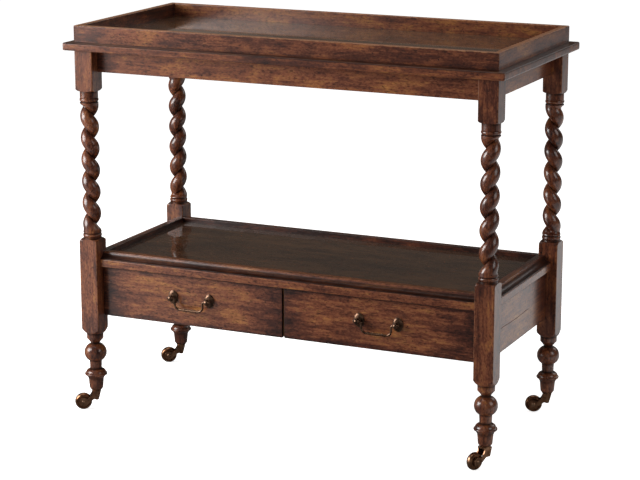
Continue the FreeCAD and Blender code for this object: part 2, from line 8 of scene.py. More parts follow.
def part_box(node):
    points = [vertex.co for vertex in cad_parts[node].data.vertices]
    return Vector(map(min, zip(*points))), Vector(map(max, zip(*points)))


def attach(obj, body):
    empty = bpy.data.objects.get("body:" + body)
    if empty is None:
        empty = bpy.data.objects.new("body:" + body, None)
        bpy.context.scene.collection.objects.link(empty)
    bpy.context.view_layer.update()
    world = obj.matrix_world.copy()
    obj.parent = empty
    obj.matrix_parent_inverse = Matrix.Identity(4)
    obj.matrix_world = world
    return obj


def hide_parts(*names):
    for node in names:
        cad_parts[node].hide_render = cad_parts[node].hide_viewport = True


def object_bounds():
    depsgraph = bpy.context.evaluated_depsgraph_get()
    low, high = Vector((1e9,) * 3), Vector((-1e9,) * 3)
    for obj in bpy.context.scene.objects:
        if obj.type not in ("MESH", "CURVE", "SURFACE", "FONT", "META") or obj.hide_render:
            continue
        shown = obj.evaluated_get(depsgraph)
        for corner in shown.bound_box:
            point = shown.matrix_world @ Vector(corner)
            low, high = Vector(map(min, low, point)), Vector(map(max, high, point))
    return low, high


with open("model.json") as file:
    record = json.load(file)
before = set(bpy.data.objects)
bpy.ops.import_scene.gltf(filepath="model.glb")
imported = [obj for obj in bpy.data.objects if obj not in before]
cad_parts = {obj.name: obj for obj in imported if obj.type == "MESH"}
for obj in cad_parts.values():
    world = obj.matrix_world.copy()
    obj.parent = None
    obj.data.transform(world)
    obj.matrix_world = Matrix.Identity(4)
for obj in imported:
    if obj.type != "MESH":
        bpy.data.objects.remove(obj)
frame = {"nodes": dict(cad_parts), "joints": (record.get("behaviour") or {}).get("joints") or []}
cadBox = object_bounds()
scene = bpy.context.scene
mm = 0.001


# Shared helpers

# sRGB hex to linear RGBA
def linear(hexColour):
    channels = [int(hexColour[i:i + 2], 16) / 255 for i in (1, 3, 5)]
    return [c / 12.92 if c <= 0.04045 else ((c + 0.055) / 1.055) ** 2.4 for c in channels] + [1.0]


# front_left as FrontLeft
def label(node):
    return node.title().replace("_", "")


# links or sets the inputs of a node
def feed(tree, node, inputs):
    for key, value in inputs.items():
        if isinstance(value, bpy.types.NodeSocket):
            tree.links.new(value, node.inputs[key])
        else:
            node.inputs[key].default_value = value


# adds a node with its settings, its links or values, and the stops of a ramp
def addNode(tree, kind, inputs=None, stops=None, **settings):
    node = tree.nodes.new(kind)
    for key, value in settings.items():
        setattr(node, key, value)
    feed(tree, node, inputs or {})
    if stops:
        ends = node.color_ramp.elements
        for element, (place, colour) in zip(ends[:], (stops[0], stops[-1])):
            element.position = place
            element.color = linear(colour)
        for place, colour in stops[1:-1]:
            ends.new(place).color = linear(colour)
    return node


# math nodes from rows of a name, an operation and its values or their names
def addSums(tree, values, rows):
    for name, operation, *terms in rows:
        inputs = {i: values.get(term, term) for i, term in enumerate(terms)}
        values[name] = addNode(tree, "ShaderNodeMath", inputs, operation=operation).outputs[0]


# by name: what is read, where it starts and ends, and the size that it gets at each
def addRanges(tree, values, rows, **settings):
    for name, terms in rows.items():
        inputs = {i: values.get(term, term) for i, term in enumerate(terms)}
        values[name] = addNode(tree, "ShaderNodeMapRange", inputs, **settings).outputs[0]


# a total of values, each by its own share
def weighed(tree, values, total, shares):
    for name, share in shares.items():
        inputs = {0: values[name], 1: share, 2: total}
        total = addNode(tree, "ShaderNodeMath", inputs, operation="MULTIPLY_ADD").outputs[0]
    return total


# merges points that lie together, where asked, and turns all faces outwards
def cleaned(mesh, merge=None):
    shape = bmesh.new()
    shape.from_mesh(mesh)
    if merge:
        bmesh.ops.remove_doubles(shape, verts=shape.verts, dist=merge)
    bmesh.ops.recalc_face_normals(shape, faces=shape.faces)
    shape.to_mesh(mesh)
    shape.free()
    return mesh


def meshFrom(name, points, faces):
    mesh = bpy.data.meshes.new(name)
    mesh.from_pydata(points, [], faces)
    return cleaned(mesh, 0.002 * mm)


def meshOf(name, shape):
    mesh = bpy.data.meshes.new(name)
    shape.to_mesh(mesh)
    shape.free()
    return mesh


# rounds the edges that are sharper than an angle
def roundEdges(shape, angle, radius, segments):
    sharp = [edge for edge in shape.edges if edge.calc_face_angle(0) > angle]
    bmesh.ops.bevel(shape, geom=sharp, offset=radius, segments=segments, profile=0.5, affect="EDGES",
                    clamp_overlap=True)


# the evaluated object as a plain mesh, with its modifiers taken off
def settle(piece):
    graph = bpy.context.evaluated_depsgraph_get()
    seen = piece.evaluated_get(graph)
    mesh = bpy.data.meshes.new_from_object(seen, preserve_all_data_layers=True, depsgraph=graph)
    piece.modifiers.clear()
    piece.data = mesh
    return piece


def newPiece(name, mesh):
    piece = bpy.data.objects.new(name, mesh)
    scene.collection.objects.link(piece)
    return piece


# takes the shape of a mesh away from a piece
def cutAway(piece, mesh):
    cutter = newPiece(mesh.name, mesh)
    cut = piece.modifiers.new(mesh.name, "BOOLEAN")
    cut.object = cutter
    cut.solver = "EXACT"
    settle(piece)
    bpy.data.objects.remove(cutter)


# flat faces stay flat beside small rounds, then the piece takes its finish, body and node
def dress(piece, finish, slot, body, *nodes, crease=34):
    mesh = piece.data
    if len(mesh.materials) == 0:
        for material in finish if isinstance(finish, list) else [finish]:
            mesh.materials.append(material)
    mesh.shade_smooth()
    mesh.set_sharp_from_angle(angle=math.radians(crease))
    weighted = piece.modifiers.new("flatFaces", "WEIGHTED_NORMAL")
    weighted.keep_sharp = True
    settle(piece)
    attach(piece, body)
    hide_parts(*nodes)
    return piece


# evenly spaced values from low to high, about a step apart
def stations(low, high, step):
    count = max(1, round((high - low) / step))
    return [low + (high - low) * i / count for i in range(count + 1)]


# points on the arc through three points of a plane, without the first
def arcThrough(start, middle, end, count):
    ax, ay = start
    bx, by = middle
    cx, cy = end
    d = 2 * (ax * (by - cy) + bx * (cy - ay) + cx * (ay - by))
    a2, b2, c2 = ax * ax + ay * ay, bx * bx + by * by, cx * cx + cy * cy
    x = (a2 * (by - cy) + b2 * (cy - ay) + c2 * (ay - by)) / d
    y = (a2 * (cx - bx) + b2 * (ax - cx) + c2 * (bx - ax)) / d
    radius = math.hypot(ax - x, ay - y)
    first = math.atan2(ay - y, ax - x)
    half = (math.atan2(by - y, bx - x) - first) % (2 * math.pi)
    swing = (math.atan2(cy - y, cx - x) - first) % (2 * math.pi)
    if half > swing:
        swing -= 2 * math.pi
    turns = [first + swing * (i + 1) / count for i in range(count)]
    return [(x + radius * math.cos(t), y + radius * math.sin(t)) for t in turns]


# an outline with each corner (x, y, radius) rounded off
def roundedOutline(corners, steps=4):
    points = []
    for i, (x, y, radius) in enumerate(corners):
        here = Vector((x, y))
        back = (Vector(corners[i - 1][:2]) - here).normalized()
        ahead = (Vector(corners[(i + 1) % len(corners)][:2]) - here).normalized()
        if radius == 0:
            points.append((x, y))
            continue
        half = back.angle(ahead) / 2
        reach = radius / math.tan(half)
        middle = here + (back + ahead).normalized() * (radius / math.sin(half) - radius)
        first = here + back * reach
        points.append(tuple(first))
        points.extend(arcThrough(tuple(first), tuple(middle), tuple(here + ahead * reach), steps))
    return points


# end caps and sides over a number of rings with n points each
def loftFaces(rings, n):
    faces = [list(range(n)), list(range((rings - 1) * n, rings * n))]
    for i in range(rings - 1):
        for j in range(n):
            k = (j + 1) % n
            faces.append([i * n + j, i * n + k, (i + 1) * n + k, (i + 1) * n + j])
    return faces


# a closed solid turned about Z from (radius, height) points; poles where the radius is 0
def lathe(name, outline, around, closed=False):
    points = []
    for i in range(around):
        angle = 2 * math.pi * i / around
        points.extend((r * math.cos(angle), r * math.sin(angle), h) for r, h in outline)
    n = len(outline)
    faces = []
    for i in range(around):
        a, b = i * n, (i + 1) % around * n
        for j in range(n if closed else n - 1):
            k = (j + 1) % n
            ring = [a + j, b + j, b + k, a + k]
            if outline[j][0] == 0:
                ring.remove(b + j)
            if outline[k][0] == 0:
                ring.remove(b + k)
            if len(ring) > 2:
                faces.append(ring)
    return meshFrom(name, points, faces)


# stores a value for each point, such as wear: 1 on a worn edge, below 0 in a hollow, where it paints shade
def setValues(mesh, name, values):
    layer = mesh.attributes.get(name) or mesh.attributes.new(name, "FLOAT", "POINT")
    layer.data.foreach_set("value", values)


# age: hand-planed faces, softened and chipped edges, always inwards, and a glaze rubbed off each face's middle
ageing = {
    "ripple": 0.25 * mm, "rippleLength": 85 * mm, "chip": 1.1 * mm, "chipLength": 14 * mm, "chipLevel": 0.22,
    "glazeEnd": 75 * mm, "glazeEdge": 11 * mm, "leastRubbed": 0.25,
}


def weather(mesh, seed, chipShare=1.0, rippleShare=1.0):
    shift = Vector((seed * 0.37, seed * 0.61, seed * 0.83))
    flattest = 1 - 1 / math.sqrt(2)
    spans = [(min(v.co[k] for v in mesh.vertices), max(v.co[k] for v in mesh.vertices)) for k in range(3)]
    sizes = sorted(range(3), key=lambda k: spans[k][0] - spans[k][1])
    exposed, rubbed, moved = [], [], []
    for vertex in mesh.vertices:
        normal = vertex.normal
        edge = min(1.0, (1 - max(abs(c) for c in normal)) / flattest)
        place = vertex.co + shift
        depth = rippleShare * ageing["ripple"] * (0.5 + 0.5 * noise.noise(place / ageing["rippleLength"]))
        bite = max(0.0, noise.noise(place / ageing["chipLength"]) - ageing["chipLevel"])
        depth += edge * chipShare * ageing["chip"] * bite
        moved.append(vertex.co - normal * depth)
        exposed.append(edge)
        rub = 1.0
        for k, reach in ((sizes[0], ageing["glazeEnd"]), (sizes[1], ageing["glazeEdge"])):
            inwards = min(vertex.co[k] - spans[k][0], spans[k][1] - vertex.co[k])
            rub *= min(1.0, ageing["leastRubbed"] + (1 - ageing["leastRubbed"]) * inwards / reach)
        rubbed.append(rub)
    for vertex, place in zip(mesh.vertices, moved):
        vertex.co = place
    setValues(mesh, "wear", exposed)
    setValues(mesh, "rubbed", rubbed)


# a board with a raised field on it, the field's faces in the second finish
def stacked(board, field):
    both = bmesh.new()
    both.from_mesh(board)
    first = len(both.faces)
    both.from_mesh(field)
    both.faces.ensure_lookup_table()
    for face in both.faces[first:]:
        face.material_index = 1
    both.to_mesh(board)
    both.free()
    return board


# Finishes

finishes = {
    "woodRamp": [
        (0.16, "#250f0a"), (0.34, "#4d2516"), (0.50, "#754127"), (0.66, "#956030"), (0.85, "#b88745"),
    ],
    "floorRamp": [(0.15, "#20140c"), (0.40, "#3c2617"), (0.60, "#523722"), (0.85, "#6a4a30")],
    "worn": "#9a6c4d",
    # the dark glaze of the pores, also the colour of painted shade in hollows, coves, grooves and gaps
    "glaze": "#160a06",
    "hole": "#0d0604",
    "plainRamp": [(0.28, "#6d4a2b"), (0.50, "#86603a"), (0.75, "#9d774c")],
    "brassRamp": [(0.30, "#24150e"), (0.52, "#40281c"), (0.74, "#5e3f2e")],
    # a lighter copy of the brass colours for the casters: painted light
    "casterRamp": [(0.30, "#5c3d2b"), (0.52, "#855c42"), (0.74, "#a67c5e")],
    "brassWorn": "#ad8c74",
    "steel": "#6b6864",
    "floor": "#f4f3f1",
}

# turns the coordinates so that the grain runs along X
grainTurn = {"x": (0, 0, 0), "y": (0, 0, -math.pi / 2), "z": (0, math.pi / 2, 0)}


# a new material, its node tree, its shader and the object's own coordinates
def newFinish(name):
    material = bpy.data.materials.new(name)
    material.use_nodes = True
    tree = material.node_tree
    place = addNode(tree, "ShaderNodeTexCoord").outputs["Object"]
    return material, tree, tree.nodes["Principled BSDF"], place


# noise along the grain, from its length and width in mm, detail and distortion
def grainNoise(tree, place, grain, shift, patterns):
    inputs = {"Vector": place, "Rotation": grainTurn[grain], "Location": shift}
    turned = addNode(tree, "ShaderNodeMapping", inputs).outputs[0]
    values = {"turned": turned}
    for key, (length, width, detail, distortion) in patterns.items():
        size = (1 / (length * mm), 1 / (width * mm), 1 / (width * mm))
        scaled = addNode(tree, "ShaderNodeVectorMath", {0: turned, 1: size}, operation="MULTIPLY")
        inputs = {"Vector": scaled.outputs[0], "Scale": 1.0, "Detail": detail, "Distortion": distortion}
        values[key] = addNode(tree, "ShaderNodeTexNoise", inputs).outputs["Fac"]
    return values


# colours laid over a colour, each by its own share
def layered(tree, colour, layers):
    for share, hexColour in layers:
        inputs = {0: share, 6: colour, 7: linear(hexColour)}
        colour = addNode(tree, "ShaderNodeMix", inputs, data_type="RGBA").outputs[2]
    return colour


mahogany = {
    "patterns": {  # length and width in mm, detail and distortion
        "tone": (300, 110, 2, 0.3),
        "cloud": (75, 26, 3, 0.8),
        "streak": (60, 5, 3, 0.4),
        "mottle": (6, 3.6, 4, 0.5),
        "pores": (9, 3.0, 3, 0.3),  # clusters of pores, each of them finer
        "scuff": (34, 1.6, 1, 0.0),
        "patch": (90, 40, 1, 0.0),
    },
    "stain": 0.595,
    "tint": {"tone": 0.45, "cloud": 0.60, "streak": 0.42, "mottle": 0.36, "rubbed": 0.22},
    "marks": {  # what is read, where the mark starts and where it is full, and its share at each
        "pore": ("pores", 0.48, 0.305, 0.0, 0.7),
        "scratch": ("scuff", 0.72, 0.7867, 0.0, 0.4),
        "worn": ("wearBroken", 0.30, 0.9667, 0.0, 1.0),
        # wear below 0 is painted shade: hollows, coves, grooves and gaps darkened in the glaze colour
        "hollow": ("wear", 0.0, -1.0, 0.0, 0.85),
        "bare": ("wear", 0.5, 1.0, 0.0, 0.9),
        "hole": ("holeEdge", 0.0, 0.03, 0.0, 0.9),
    },
    "relief": {"pore": -0.10, "mottle": 0.10, "hole": -0.6, "scratch": -0.12},
    "coat": {"pore": -0.5, "hole": -0.9, "bare": -1.0, "hollow": -1.0},
    "layers": {"pore": "glaze", "scratch": "worn", "worn": "worn", "hollow": "glaze", "hole": "hole"},
    "holesApart": 11 * mm, "holeSpread": 0.30, "holeRarity": -0.312,
    "holeMost": 0.14,  # of the distance apart, about 1.5 mm in radius
    "roughSpread": 0.26, "roughLeast": 0.32, "coatLeast": 0.1,
    "bump": 0.7, "polishedBump": 0.2, "coatRough": 0.2, "polishedRough": 0.05,
}


# mahogany, stained dark, distressed and waxed: mottled red-brown tones, short dark pores, worm holes, and
# edges rubbed paler than the faces; painted shade where the wear falls below 0, and a tone set for each piece
# which on some pieces paints light or shade; a French-polished one is smooth enough to mirror
def agedMahogany(name, grain, seed, polished=False, ramp="woodRamp", shade=0.0):
    material, tree, shader, place = newFinish(name)
    shift = (seed * 0.731, seed * 0.417, seed * 0.259)
    values = grainNoise(tree, place, grain, shift, mahogany["patterns"])
    holeInputs = {"Vector": values["turned"], "Scale": 1 / mahogany["holesApart"], "Randomness": 1.0}
    holes = addNode(tree, "ShaderNodeTexVoronoi", holeInputs).outputs
    values["holeDistance"] = holes["Distance"]
    values["holeChance"] = addNode(tree, "ShaderNodeSeparateColor", {0: holes["Color"]}).outputs[0]
    for key in ("wear", "rubbed"):
        values[key] = addNode(tree, "ShaderNodeAttribute", attribute_name=key).outputs["Fac"]
    addSums(tree, values, [
        ("wearBroken", "MULTIPLY", "wear", "mottle"),
        ("holeClump", "ADD", "holeChance", "patch"),
        ("holeRoom", "MULTIPLY_ADD", "holeClump", mahogany["holeSpread"], mahogany["holeRarity"]),
        ("holeLimit", "MINIMUM", "holeRoom", mahogany["holeMost"]),
        ("holeEdge", "SUBTRACT", "holeLimit", "holeDistance"),
        ("rough", "MULTIPLY_ADD", "mottle", mahogany["roughSpread"], mahogany["roughLeast"]),
    ])
    addRanges(tree, values, mahogany["marks"])
    values["coatLeft"] = weighed(tree, values, 1.0, mahogany["coat"])
    addSums(tree, values, [("coat", "MAXIMUM", "coatLeft", mahogany["coatLeast"])])
    tint = weighed(tree, values, shade - mahogany["stain"], mahogany["tint"])
    colour = addNode(tree, "ShaderNodeValToRGB", {0: tint}, stops=finishes[ramp]).outputs[0]
    layers = [(values[mark], finishes[tone]) for mark, tone in mahogany["layers"].items()]
    colour = layered(tree, colour, layers)
    height = weighed(tree, values, 0.0, mahogany["relief"])
    strength = mahogany["polishedBump" if polished else "bump"]
    bump = addNode(tree, "ShaderNodeBump", {"Height": height, "Distance": mm, "Strength": strength})
    feed(tree, shader, {
        "Base Color": colour, "Roughness": values["rough"], "Normal": bump.outputs[0], "IOR": 1.5,
        "Specular IOR Level": 0.12, "Coat Weight": values["coat"], "Coat IOR": 1.5,
        "Coat Roughness": mahogany["polishedRough" if polished else "coatRough"],
    })
    return material


# plain oak, planed and left bare inside the case: pale brown with straight grain, no gloss
def bareOak(name, grain, seed):
    material, tree, shader, place = newFinish(name)
    shift = (seed * 0.531, seed * 0.317, seed * 0.459)
    values = grainNoise(tree, place, grain, shift, {"rings": (320, 9, 3, 0.5), "pores": (14, 1.6, 2, 0.5)})
    tint = weighed(tree, values, 0.0, {"rings": 0.7, "pores": 0.3})
    colour = addNode(tree, "ShaderNodeValToRGB", {0: tint}, stops=finishes["plainRamp"]).outputs[0]
    bump = addNode(tree, "ShaderNodeBump", {"Height": values["pores"], "Distance": 0.2 * mm, "Strength": 0.5})
    feed(tree, shader, {"Base Color": colour, "Normal": bump.outputs[0], "Roughness": 0.62, "IOR": 1.5})
    return material


# cast brass gone brown with age: dark patina in patches, rubbed bright on edges
def agedBrass(name, ramp):
    material, tree, shader, place = newFinish(name)
    values = {"wear": addNode(tree, "ShaderNodeAttribute", attribute_name="wear").outputs["Fac"]}
    for key, size in {"patina": 11 * mm, "grit": 1.4 * mm}.items():
        inputs = {"Vector": place, "Scale": 1 / size, "Detail": 4.0}
        values[key] = addNode(tree, "ShaderNodeTexNoise", inputs).outputs["Fac"]
    addSums(tree, values, [
        ("rubbed", "MULTIPLY", "wear", "patina"),
        ("bright", "MULTIPLY", "rubbed", 1.3),
        ("rough", "MULTIPLY_ADD", "patina", 0.30, 0.14),
    ])
    colour = addNode(tree, "ShaderNodeValToRGB", {0: values["patina"]}, stops=finishes[ramp]).outputs[0]
    colour = layered(tree, colour, [(values["bright"], finishes["brassWorn"])])
    bump = addNode(tree, "ShaderNodeBump", {"Height": values["grit"], "Distance": 0.1 * mm, "Strength": 0.5})
    feed(tree, shader, {
        "Base Color": colour, "Roughness": values["rough"], "Normal": bump.outputs[0], "Metallic": 1.0,
    })
    return material


# plain steel screws and nuts, brushed by the thread cutter: grey with a fine streak
def brushedSteel():
    material, tree, shader, place = newFinish("brushedSteel")
    streak = addNode(tree, "ShaderNodeTexNoise", {"Vector": place, "Scale": 1 / (0.8 * mm), "Detail": 2.0})
    values = {"streak": streak.outputs["Fac"]}
    addSums(tree, values, [("rough", "MULTIPLY_ADD", "streak", 0.3, 0.25)])
    grey = linear(finishes["steel"])
    feed(tree, shader, {"Base Color": grey, "Roughness": values["rough"], "Metallic": 1.0})
    return material


brass = agedBrass("agedBrass", "brassRamp")
# the casters take a copy of the brass painted lighter, in place of light on them
casterBrass = agedBrass("rolledBrass", "casterRamp")
steel = brushedSteel()
print("finishes ready")


# Boards

sideTurn = {"front": 0, "right": 90, "back": 180, "left": 270}
longSides = ("front", "back")
corners = {"front_left": (-1, -1), "front_right": (1, -1), "back_left": (-1, 1), "back_right": (1, 1)}
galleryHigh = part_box("gallery_front")[1]
frameX, frameY = galleryHigh.x, -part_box("gallery_front")[0].y
postSide = 43 * mm
eighth = 1 - math.sqrt(0.5)  # how far the middle of a rounded corner lies from each side, by its radius
innerX, innerY = frameX - postSide, frameY - postSide


# a board from a grid of cells, its edges rounded; a notch (low, high, low, high) takes cells out
def slab(name, low, high, across, board, notches=(), lines=()):
    u, v = [axis for axis in range(3) if axis != across]
    us = sorted(set(stations(low[u], high[u], board["cell"]) + [n[k] for n in notches for k in (0, 1)]))
    vs = stations(low[v], high[v], board["cell"]) + [n[k] for n in notches for k in (2, 3)] + list(lines)
    vs = sorted(set(vs))
    us = [a for a in us if low[u] <= a <= high[u]]
    vs = [b for b in vs if low[v] <= b <= high[v]]
    cells = set()
    for i in range(len(us) - 1):
        for j in range(len(vs) - 1):
            a, b = (us[i] + us[i + 1]) / 2, (vs[j] + vs[j + 1]) / 2
            if not any(n[0] < a < n[1] and n[2] < b < n[3] for n in notches):
                cells.add((i, j))
    shape = bmesh.new()
    made = {}

    def corner(i, j, side):
        if (i, j, side) not in made:
            point = [0.0, 0.0, 0.0]
            point[u], point[v], point[across] = us[i], vs[j], (low, high)[side][across]
            made[i, j, side] = shape.verts.new(point)
        return made[i, j, side]

    for i, j in sorted(cells):
        ring = [(i, j), (i + 1, j), (i + 1, j + 1), (i, j + 1)]
        beside = [(i, j - 1), (i + 1, j), (i, j + 1), (i - 1, j)]
        for side in (0, 1):
            shape.faces.new([corner(a, b, side) for a, b in ring])
        for k, other in enumerate(beside):
            if other not in cells:
                p, q = ring[k], ring[(k + 1) % 4]
                shape.faces.new([corner(*p, 0), corner(*q, 0), corner(*q, 1), corner(*p, 1)])
    bmesh.ops.recalc_face_normals(shape, faces=shape.faces)
    roundEdges(shape, 1, board["round"], board["segments"])
    return meshOf(name, shape)


# a rail swept along one side from its outline of (across, height) points, with mitred or square ends;
# its outer face lies at the given distance from the middle
def sweptRail(name, side, outline, half, outer, height, step, mitre):
    seam = 0.4 * mm
    middleA = sum(a for a, h in outline) / len(outline)
    middleH = sum(h for a, h in outline) / len(outline)
    shares = stations(-1, 1, step / half)
    shares = [-1, seam / half - 1] + shares[1:-1] + [1 - seam / half, 1]
    points = []
    for s in shares:
        for a, h in outline:
            if abs(s) == 1:  # the ends draw in, so that a joint shows as a fine line
                a += seam * math.copysign(1, middleA - a)
                h += seam * math.copysign(1, middleH - h)
            points.append((s * (half - mitre * a), a, h))
    mesh = meshFrom(name, points, loftFaces(len(shares), len(outline)))
    turn = Matrix.Rotation(math.radians(sideTurn[side]), 4, "Z")
    mesh.transform(turn @ Matrix.Translation((0, -outer, height)))
    return mesh


# the cross-section of a plain rail, its lower and its upper edges rounded
def railOutline(thick, rise, lower, upper):
    return roundedOutline([(0, 0, lower), (thick, 0, lower), (thick, rise, upper), (0, rise, upper)])


# half the length of a side, and how far out it lies
def sideSpan(side):
    return (frameX, frameY) if side in longSides else (frameY, frameX)


# sets the wear where a test holds, by default below 0, which paints shade in the dark glaze colour; a level
# above 0 paints the face paler, partly wear and partly a painted highlight; other points keep a share of
# theirs
def glaze(mesh, holds, share=1.0, level=-0.8):
    wear = [w.value for w in mesh.attributes["wear"].data]
    setValues(mesh, "wear", [level if holds(v) else share * w for v, w in zip(mesh.vertices, wear)])


# a board with a raised field inside a border; the field has the second of the two woods
def fieldBoard(name, node, board, border, hollow, woods, notches=()):
    low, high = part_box(node)
    face = low.z + board["thick"]
    mesh = slab(name, low, Vector((high.x, high.y, face)), 2, board, notches)
    weather(mesh, board["age"])
    # where the test holds the board is painted shade: the top board's ledge at the gallery's foot, and the
    # shelf's upper and lower faces outside its field
    glaze(mesh, hollow, 0.4)
    fieldLow = Vector((border - frameX, border - frameY, high.z - board["sunk"]))
    fieldMesh = slab(name + "Field", fieldLow, Vector((frameX - border, frameY - border, high.z)), 2, field)
    weather(fieldMesh, field["age"], field["chips"], field["ripples"])
    piece = newPiece("worn" + name[0].upper() + name[1:], stacked(mesh, fieldMesh))
    dress(piece, woods, "polished_wood", "frame", node)
    return face


# gives the rail of one side its own wood
def fitRail(kind, side, piece, seed, shade):
    grain = "x" if side in longSides else "y"
    wood = agedMahogany("waxed" + label(kind + "_" + side), grain, seed, shade=shade)
    dress(piece, wood, "polished_wood", "frame", kind + "_" + side)


field = {"cell": 9 * mm, "round": 0.6 * mm, "segments": 2, "age": 2, "chips": 0.2, "ripples": 0.3}
topBoard = {"thick": 17 * mm, "round": 3.4 * mm, "cell": 9 * mm, "segments": 5, "sunk": 8 * mm, "age": 1}
gallery = {
    "thick": 14 * mm, "topRound": 2.4 * mm, "footRound": 0.5 * mm, "step": 4 * mm, "rubbed": 1.6,
    # each side's wood is set lighter or darker by how the light falls on it: painted light and shade
    "shades": {"front": 0.0, "right": 0.04, "back": 0.1, "left": -0.06},
}
woods = [
    agedMahogany("waxedTopEdge", "x", 1.3, shade=0.04),
    agedMahogany("frenchPolishedTray", "x", 1.7, polished=True, ramp="floorRamp", shade=0.1),
]
topFace = fieldBoard("topBoard", "top_board", topBoard, gallery["thick"], lambda v: v.normal.z > 0.3, woods)

outline = railOutline(gallery["thick"], galleryHigh.z - topFace, gallery["footRound"], gallery["topRound"])
for i, side in enumerate(sideTurn):
    half, outer = sideSpan(side)
    mesh = sweptRail("gallery", side, outline, half, outer, topFace, gallery["step"], 1)
    weather(mesh, 3 + i)
    # the top faces are painted paler: partly wear, partly a painted highlight of the light from above
    glaze(mesh, lambda v: v.normal.z > 0.4, level=gallery["rubbed"])
    fitRail("gallery", side, newPiece("wornGallery" + label(side), mesh), 2.1 + i, gallery["shades"][side])

apron = {"thick": 18 * mm, "round": 1.6 * mm, "step": 6 * mm, "housed": 0.4 * mm, "shade": 0.09}
for i, side in enumerate(sideTurn):
    low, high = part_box("apron_" + side)
    outline = railOutline(apron["thick"], high.z - low.z, apron["round"], apron["round"] / 4)
    half = (innerX if side in longSides else innerY) + apron["housed"]
    outer = max(-low.y, high.y) if side in longSides else max(-low.x, high.x)
    mesh = sweptRail("apron", side, outline, half, outer, low.z, apron["step"], 0)
    weather(mesh, 8 + i)
    fitRail("apron", side, newPiece("wornApron" + label(side), mesh), 5.1 + i, apron["shade"])

shelf = {"thick": 18 * mm, "round": 2.2 * mm, "cell": 9 * mm, "segments": 4, "sunk": 7 * mm, "age": 13}
# lip moulding: low edge, hollow cove, nosing and flat top
lip = {
    "width": 31.5 * mm, "edge": 1.5 * mm, "rise": 15 * mm, "top": 15.5 * mm, "coveSag": 3.7 * mm,
    # the lip's wood is set darker: partly its own tone, partly painted shade of its cove
    "nosing": 2.0 * mm, "innerRound": 1.2 * mm, "step": 6 * mm, "shade": -0.14,
}
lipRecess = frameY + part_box("lip_front")[0].y
notches = []
for sx, sy in corners.values():
    notches.append((*sorted((sx * innerX, sx * 1.0)), *sorted((sy * innerY, sy * 1.0))))
woods = [
    agedMahogany("waxedShelfEdge", "x", 14.9, shade=0.1),
    agedMahogany("frenchPolishedShelf", "x", 14.2, polished=True, ramp="floorRamp"),
]
shelfFace = fieldBoard("shelf", "shelf_board", shelf, lipRecess + lip["width"],
                       lambda v: v.normal.z > 0.9 or v.normal.z < -0.2, woods, notches)

postBlocks = bmesh.new()
for sx, sy in corners.values():
    place = Matrix.Translation((sx * (frameX - postSide / 2), sy * (frameY - postSide / 2), shelfFace))
    bmesh.ops.create_cube(postBlocks, size=postSide + 0.1 * mm, matrix=place)
postSquares = meshOf("postSquares", postBlocks)


def lipOutline():
    wide, rise, nosing, inner = lip["width"], lip["rise"], lip["nosing"], lip["innerRound"]
    crown = wide - lip["top"]
    low, high = (0, lip["edge"]), (crown - nosing, rise - nosing)
    sag = ((low[0] + high[0]) / 2, (low[1] + high[1]) / 2 - lip["coveSag"])
    outline = [(0, 0), (0, lip["edge"] * 0.6), (0.4 * mm, lip["edge"])] + arcThrough(low, sag, high, 12)
    outline += arcThrough(high, (crown - nosing * (1 - eighth), rise - nosing * eighth), (crown, rise), 5)
    outline += [(wide - inner, rise)]
    bend = inner * eighth
    outline += arcThrough(outline[-1], (wide - bend, rise - bend), (wide, rise - inner), 3)
    return outline + [(wide, 0)]


outline = lipOutline()
for i, side in enumerate(sideTurn):
    half, outer = sideSpan(side)
    mesh = sweptRail("lip", side, outline, half - lipRecess, outer - lipRecess, shelfFace, lip["step"], 1)
    weather(mesh, 15 + i, 0.6)
    # the cove's upward faces are painted shade, dark in the glaze colour
    glaze(mesh, lambda v: v.normal.z > 0.1 and 0.03 < (v.co.z - shelfFace) / lip["rise"] < 0.75, 0.5)
    if side == "front":  # its top painted paler: partly wear, partly a painted highlight of the light from above
        glaze(mesh, lambda v: v.normal.z > 0.7 and v.co.z - shelfFace > 0.9 * lip["rise"], level=1.0)
    piece = newPiece("copedLip" + label(side), mesh)
    cutAway(piece, postSquares)
    fitRail("lip", side, piece, 15.2 + i, lip["shade"])
print("boards and mouldings ready")

# case panels, the right-hand one with a crack along its grain
panel = {"round": 1.5 * mm, "cell": 9 * mm, "segments": 3, "housed": 0.4 * mm}
crack = {
    "height": 0.46, "depth": 1.3 * mm, "width": 0.7 * mm, "wander": 3.5 * mm, "waves": 12, "firstWave": 3.3,
    "from": -0.165, "to": 0.06,
}
for i, node in enumerate(("end_panel_left", "end_panel_right", "case_back")):
    low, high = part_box(node)
    along, reach = (0, innerX) if node == "case_back" else (1, innerY)
    low[along], high[along] = -reach - panel["housed"], reach + panel["housed"]
    lines = ()
    crackZ = low.z + crack["height"] * (high.z - low.z)
    if node == "end_panel_right":
        lines = [crackZ + k * crack["width"] for k in (-2, -1, 0, 1, 2)]
    mesh = slab(node, low, high, 1 - along, panel, lines=lines)
    weather(mesh, 20 + i)
    if lines:
        for vertex in mesh.vertices:
            offset = vertex.co.z - crackZ
            if vertex.co.x < high.x - panel["round"] or abs(offset) > 2.5 * crack["width"]:
                continue
            wave = Vector((vertex.co.y * crack["waves"], crack["firstWave"], 0))
            vertex.co.z += crack["wander"] * noise.noise(wave)
            if abs(offset) < 0.5 * crack["width"] and crack["from"] < vertex.co.y < crack["to"]:
                vertex.co.x -= crack["depth"]
    wood = agedMahogany("waxed" + label(node), "xy"[along], 21.4 + i)
    dress(newPiece("worn" + label(node), mesh), wood, "polished_wood", "frame", node)
print("case panels ready")


# Posts: a squared and turned blank, then the twist is cut into it

